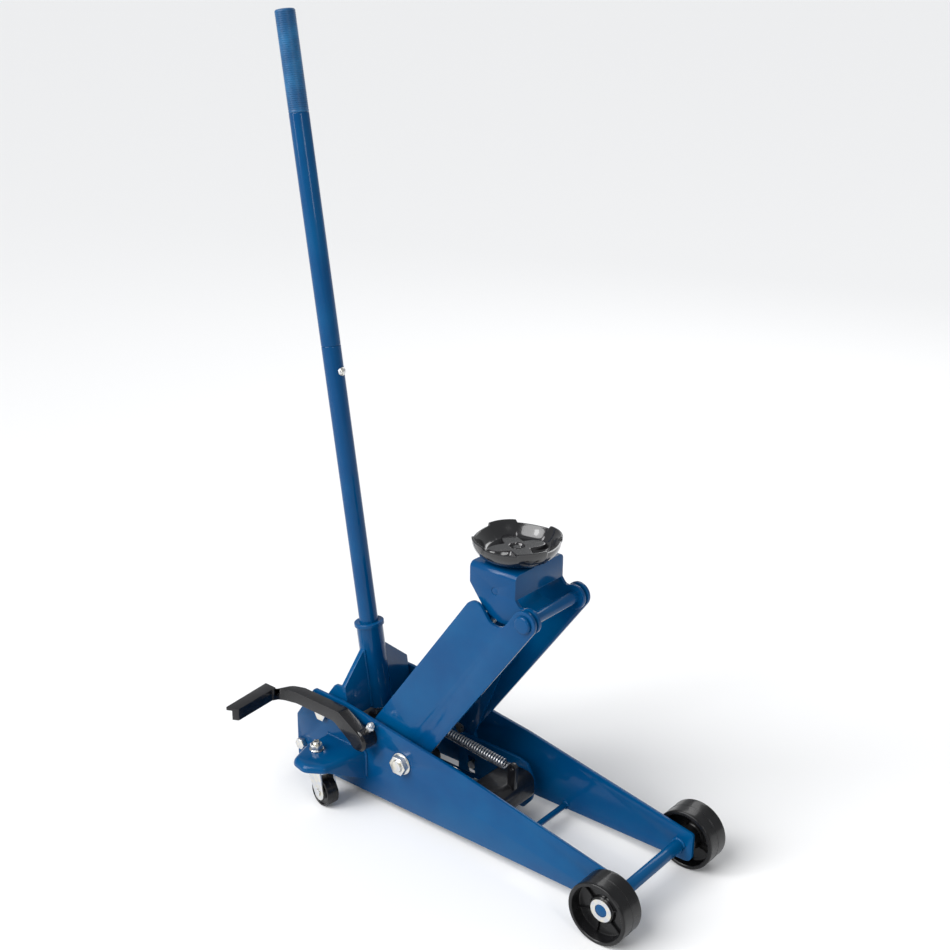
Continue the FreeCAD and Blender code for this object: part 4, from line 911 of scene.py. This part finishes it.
class JACK_OT_springs(Operation):
    """Wind the return spring with its end hooks, and the pump's spring"""

    bl_idname = "jack.springs"
    bl_label = "Springs"

    def execute(self, context):
        self.return_spring(context.scene.jack_sizes.coils)
        self.pump_spring()
        return {"FINISHED"}

    def return_spring(self, turns):
        low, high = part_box("return_spring")
        reach = (high.y - low.y) / 2
        wire = 1.5 * MM
        y = (low.y + high.y) / 2
        back = Vector((low.x + 7 * MM, y, high.z - reach))
        front = Vector((high.x - 4 * MM, y, low.z + reach))
        coil = helix(back, front, reach - wire, turns)
        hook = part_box("crosshead")[1].z - 8 * MM
        eye = Vector((centre_of_eye().x, y, hook))
        rear_hook = Vector((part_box("link_anchor")[1].x - 2 * MM, y, back.z + 3.4 * MM))
        path = [rear_hook + Vector((x * MM, 0, z * MM)) for x, z in ((0, -7), (0, 0), (4, 1))]
        path += coil
        path.append(front + Vector((4 * MM, 0, 4 * MM)))
        hooked = ((-2, 5), (3, 3), (3.5, -2), (0, -3))
        path += [eye + Vector((x * MM, 0, z * MM)) for x, z in hooked]
        bm = swept(path, lambda t: wire, 10)
        mesh = mesh_of("return_spring", bm, 60)
        thing = piece("return_spring_coil", mesh, "root", "spring_steel", ["return_spring"])
        stroke = -joint("ram_slide")["range_m"][0]
        length_now = eye.x - rear_hook.x
        1 - stroke / length_now
        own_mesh(thing)

    def pump_spring(self):
        low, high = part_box("pump_spring")
        wire = 1.0 * MM
        y, z = (low.y + high.y) / 2, (low.z + high.z) / 2
        ends = Vector((low.x + wire, y, z)), Vector((high.x - wire, y, z))
        coil = helix(*ends, (high.y - low.y) / 2 - wire, 7)
        bm = swept(coil, lambda t: wire, 8)
        mesh = mesh_of("pump_spring", bm, 60)
        thing = piece("pump_spring_coil", mesh, "root", "spring_steel", ["pump_spring"])
        stroke = joint("pump_plunger_slide")["range_m"][1]
        1 - stroke / (high.x - low.x)
        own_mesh(thing)


def centre_of_eye():
    low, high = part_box("crosshead")
    return Vector((high.x - 7 * MM, (low.y + high.y) / 2, high.z - 8 * MM))


# ---- handle ----

def pole_line():
    """The handle's lower end and its direction."""
    turn = joint("handle_turn")
    return Vector(turn["pos_m"]), Vector(turn["axis"]).normalized()


def reach_along(node):
    """How far a node lies along the handle, from its lower end."""
    base, way = pole_line()
    spots = [(v.co - base).dot(way) for v in frame["nodes"][node].data.vertices]
    return min(spots), max(spots)


class JACK_OT_handle(Operation):
    """Turn the handle's tubes, its ribbed grip and the bolt that joins them"""

    bl_idname = "jack.handle"
    bl_label = "Handle"

    def execute(self, context):
        base, way = pole_line()
        place = along(base, way)
        radius = 16 * MM
        self.tube(place, "lower_handle", radius, 1.2 * MM)
        self.tube(place, "upper_handle", radius, 1.2 * MM)
        self.grip(place, radius, context.scene.jack_sizes.grip_pitch)
        self.bolt(way)
        return {"FINISHED"}

    def tube(self, place, node, radius, lip):
        low, high = reach_along(node)
        grip_low = reach_along("grip")[0]
        if node == "upper_handle":
            low, high = reach_along("lower_handle")[1], grip_low
        bore = radius - 2.5 * MM
        profile = [(bore, low)]
        for a in quarter(5):
            profile.append((radius - lip * (1 - math.sin(a)), low + lip * 0.96 * (1 - math.cos(a))))
        profile.append((radius, low + lip * 2))
        for a in quarter(5):
            profile.append((radius - lip * (1 - math.cos(a)), high - lip * 2 * (1 - math.sin(a))))
        profile += [(bore, high)]
        bm = turned(profile + [profile[0]], 96, place)
        piece(node + "_tube", mesh_of(node, bm), "handle", "blue_paint", [node])

    def grip(self, place, outer, pitch):
        low, high = reach_along("grip")
        valley = outer - 0.55 * MM
        profile = [
            (outer - 2 * MM, low), (outer - 0.6 * MM, low), (outer, low + 0.8 * MM), (outer, low + 3 * MM),
        ]
        z = low + 4 * MM
        while z < high - 6 * MM:
            profile += [(valley, z), (valley, z + pitch * 0.22), (outer, z + pitch * 0.36),
                        (outer + 0.15 * MM, z + pitch * 0.6), (outer, z + pitch * 0.86)]
            z += pitch
        profile += [
            (outer, high - 4 * MM), (outer - 0.6 * MM, high - 2 * MM), (outer - 2.4 * MM, high - 0.6 * MM),
            (outer - 6 * MM, high), (6 * MM, high), (5 * MM, high - 1.2 * MM), (0, high - 1.2 * MM),
        ]
        bm = turned(profile, 96, place)
        piece("grip_sleeve", mesh_of("grip", bm), "handle", "blue_grip", ["grip"])

    def bolt(self, way):
        middle = centre("joint_bolt")
        side = Vector((way.z, 0, -way.x))
        base, _ = pole_line()
        height = (middle - base).dot(way)
        spot = along(base + way * height, side)
        bm = turned([
            (0, -18 * MM), (3.4 * MM, -18 * MM), (4 * MM, -17 * MM), (4 * MM, 16.2 * MM), (7 * MM, 16.2 * MM),
            (7 * MM, 18 * MM), (6.2 * MM, 19.8 * MM), (4.2 * MM, 21.2 * MM), (2 * MM, 21.9 * MM),
            (0, 22 * MM),
        ], 40, spot)
        piece("joint_bolt_head", mesh_of("joint_bolt", bm), "handle", "zinc", ["joint_bolt"])


# ---- foot pedal ----

class JACK_OT_pedal(Operation):
    """Round the pedal's edges and make its set bolt"""

    bl_idname = "jack.pedal"
    bl_label = "Foot pedal"

    def execute(self, context):
        softened("foot_pedal", 2.8 * MM, 4)
        low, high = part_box("pedal_set_bolt")
        hub = Vector(joint("foot_pedal_press")["pos_m"])
        middle = (low + high) / 2
        out = Vector((middle.x - hub.x, 0, middle.z - hub.z)).normalized()
        spot = along(Vector((hub.x, middle.y, hub.z)), out)
        bm = turned([(0, 17.5 * MM), (5 * MM, 17.5 * MM), (5 * MM, 27 * MM), (0, 27 * MM)], 32, spot)
        hex_nut(bm, spot, 13 * MM, 24 * MM, 30 * MM, 3 * MM)
        thread(bm, spot, 4 * MM, 29 * MM, 35 * MM, 1.25 * MM)
        piece("pedal_set_bolt_hex", mesh_of("pedal_set_bolt", bm), "foot_pedal", "zinc", ["pedal_set_bolt"])
        return {"FINISHED"}


# ---- welds ----

class JACK_OT_welds(Operation):
    """Lay the weld beads at the shelves, brace, axle, socket and arm web"""

    bl_idname = "jack.welds"
    bl_label = "Welds"

    def execute(self, context):
        for side, sign in SIDES:
            self.shelf(side, sign)
            self.ring(f"{side}_brace_weld", "cross_brace", side, sign, 5 * MM)
            self.ring(f"{side}_axle_weld", "front_axle", side, sign, 10 * MM)
            self.web(side, sign)
            self.socket(side, sign)
        return {"FINISHED"}

    def shelf(self, side, sign):
        low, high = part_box(f"{side}_caster_bracket")
        y = high.y if sign < 0 else low.y
        y += sign * 0.6 * MM
        path = [(low.x + 3 * MM, y, high.z), (high.x - 3 * MM, y, high.z), (high.x, y, high.z - 4 * MM),
                (high.x, y, low.z + 6 * MM)]
        bead(f"{side}_shelf_weld", path, "root")

    def ring(self, name, node, side, sign, radius):
        plate_low, plate_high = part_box(f"{side}_side_plate")
        y = plate_high.y if sign < 0 else plate_low.y
        spot = centre(node)
        ring = [
            (spot.x + radius * math.cos(a), y - sign * 0.4 * MM, spot.z + radius * math.sin(a))
            for a in (2 * math.pi * i / 24 for i in range(22))
        ]
        bead(name, ring, "root")

    def web(self, side, sign):
        base = Vector(joint("lift_arm_pivot")["pos_m"])
        spots = [v.co for v in frame["nodes"]["arm_web"].data.vertices if sign * (v.co.y - base.y) > 0]
        low_end = min(spots, key=lambda p: p.z - p.x * 0.4)
        high_end = max(spots, key=lambda p: p.z - p.x * 0.4)
        bead(f"{side}_web_weld", [low_end, high_end], "lift_arm")

    def socket(self, side, sign):
        base, way = pole_line()
        ahead = Vector((way.z, 0, -way.x))
        foot = base + way * (-4 * MM) + ahead * 3 * MM + Vector((0, sign * 22.4 * MM, 0))
        head = base + way * (101 * MM) + ahead * 3 * MM + Vector((0, sign * 22.4 * MM, 0))
        bead(f"{side}_socket_weld", [foot, head], "handle_yoke")


class JACK_OT_finishes(Operation):
    """Give every node that is still shown its finish"""

    bl_idname = "jack.finishes"
    bl_label = "Finishes"

    def execute(self, context):
        for name, thing in frame["nodes"].items():
            if not thing.material_slots:
                raise RuntimeError(f"{name} has no material slot")
            for slot in thing.material_slots:
                slot.material = finish_for(SLOT_OF[name])
        return {"FINISHED"}


# ---- studio ----

FLOOR_HALF = 90
FRAMING_SHIFT = (-0.0063, -0.0073)

class JACK_OT_studio(Operation):
    """Lay the floor, hang the lights and set the camera"""

    bl_idname = "jack.studio"
    bl_label = "Studio"

    def execute(self, context):
        self.floor(context)
        self.lights(context)
        self.camera(context)
        return {"FINISHED"}

    def floor(self, context):
        bm = bmesh.new()
        bmesh.ops.create_grid(bm, x_segments=24, y_segments=24, size=FLOOR_HALF)
        mesh = bpy.data.meshes.new("floor")
        bm.to_mesh(mesh)
        bm.free()
        floor = bpy.data.objects.new("studio_floor", mesh)
        floor.location.z = CAD_BOX[0][2] - 0.0002
        context.scene.collection.objects.link(floor)
        finish = Finish("studio_floor", Roughness=0.6, Specular_IOR_Level=0.1)
        tone = finish.noise(2.0, 3)
        finish.set(Base_Color=finish.mix(tone * 0.05, context.scene.jack_colours.floor, (0.84, 0.84, 0.84)))
        mesh.materials.append(finish.material)

    def lights(self, context):
        world = bpy.data.worlds.new("studio")
        world.use_nodes = True
        world.node_tree.nodes["Background"].inputs["Color"].default_value = (0.95, 0.97, 1.0, 1)
        world.node_tree.nodes["Background"].inputs["Strength"].default_value = 0.42
        context.scene.world = world
        target = Vector((0.05, 0.0, 0.4))
        sky = bpy.data.lights.new("soft_sky", "SUN")
        sky.energy = 2.9
        sky.angle = math.radians(50)
        self.hang(context, sky, (-1.0, -2.6, 3.1), target)
        for name, spot, size, power in (
            ("key", (-1.5, -2.4, 2.0), (0.5, 2.6), 26),
            ("front", (2.6, -1.2, 1.9), (0.6, 1.2), 14),
            ("back", (-0.8, 2.8, 2.2), (1.8, 0.8), 14),
        ):
            lamp = bpy.data.lights.new(name, "AREA")
            lamp.shape = "RECTANGLE"
            lamp.size, lamp.size_y = size
            lamp.energy = power
            self.hang(context, lamp, spot, target)

    def hang(self, context, lamp, spot, target):
        holder = bpy.data.objects.new(lamp.name, lamp)
        holder.location = spot
        holder.rotation_euler = (target - Vector(spot)).to_track_quat("-Z", "Y").to_euler()
        context.scene.collection.objects.link(holder)

    def camera(self, context):
        studio = context.scene.jack_studio
        lens = bpy.data.cameras.new("studio_camera")
        lens.lens = studio.lens
        lens.sensor_width = 36
        lens.shift_x, lens.shift_y = FRAMING_SHIFT
        camera = bpy.data.objects.new("studio_camera", lens)
        axle = centre("front_axle")
        azimuth, elevation, roll = studio.azimuth, studio.elevation, studio.roll
        back = Vector((math.sin(azimuth) * math.cos(elevation), -math.cos(azimuth) * math.cos(elevation),
                       math.sin(elevation)))
        right = Vector((math.cos(azimuth), math.sin(azimuth), 0))
        up = back.cross(right)
        right, up = right * math.cos(roll) + up * math.sin(roll), up * math.cos(roll) - right * math.sin(roll)
        turn = Matrix((right, up, back)).transposed().to_4x4()
        stand = Vector((axle.x + studio.stand_x, axle.y - studio.stand_y, studio.stand_z))
        camera.matrix_world = Matrix.Translation(stand) @ turn
        context.scene.collection.objects.link(camera)
        context.scene.camera = camera
        context.scene.view_settings.view_transform = "Standard"


class JACK_PT_panel(bpy.types.Panel):
    """Lists the steps that build the jack."""

    bl_idname = "JACK_PT_panel"
    bl_label = "Trolley jack"
    bl_space_type = "VIEW_3D"
    bl_region_type = "UI"
    bl_category = "Jack"

    def draw(self, context):
        for step in STEPS:
            self.layout.operator(step.bl_idname)
        for group in GROUPS:
            settings = getattr(context.scene, group)
            for name in settings.bl_rna.properties.keys():
                if name not in ("rna_type", "name"):
                    self.layout.prop(settings, name)


STEPS = (
    JACK_OT_studio, JACK_OT_finishes, JACK_OT_plates, JACK_OT_castings, JACK_OT_fasteners,
    JACK_OT_front_wheels, JACK_OT_casters, JACK_OT_saddle, JACK_OT_springs, JACK_OT_handle,
    JACK_OT_pedal, JACK_OT_welds,
)
GROUPS = {"jack_colours": JackColours, "jack_sizes": JackSizes, "jack_studio": JackStudio}


def register():
    for name, group in GROUPS.items():
        bpy.utils.register_class(group)
        setattr(bpy.types.Scene, name, bpy.props.PointerProperty(type=group))
    for step in STEPS:
        bpy.utils.register_class(step)
    bpy.utils.register_class(JACK_PT_panel)


def unregister():
    bpy.utils.unregister_class(JACK_PT_panel)
    for step in reversed(STEPS):
        bpy.utils.unregister_class(step)
    for name, group in GROUPS.items():
        delattr(bpy.types.Scene, name)
        bpy.utils.unregister_class(group)


def main():
    register()
    for step in STEPS:
        family, name = step.bl_idname.split(".")
        getattr(getattr(bpy.ops, family), name)()


if __name__ == "__main__":
    main()
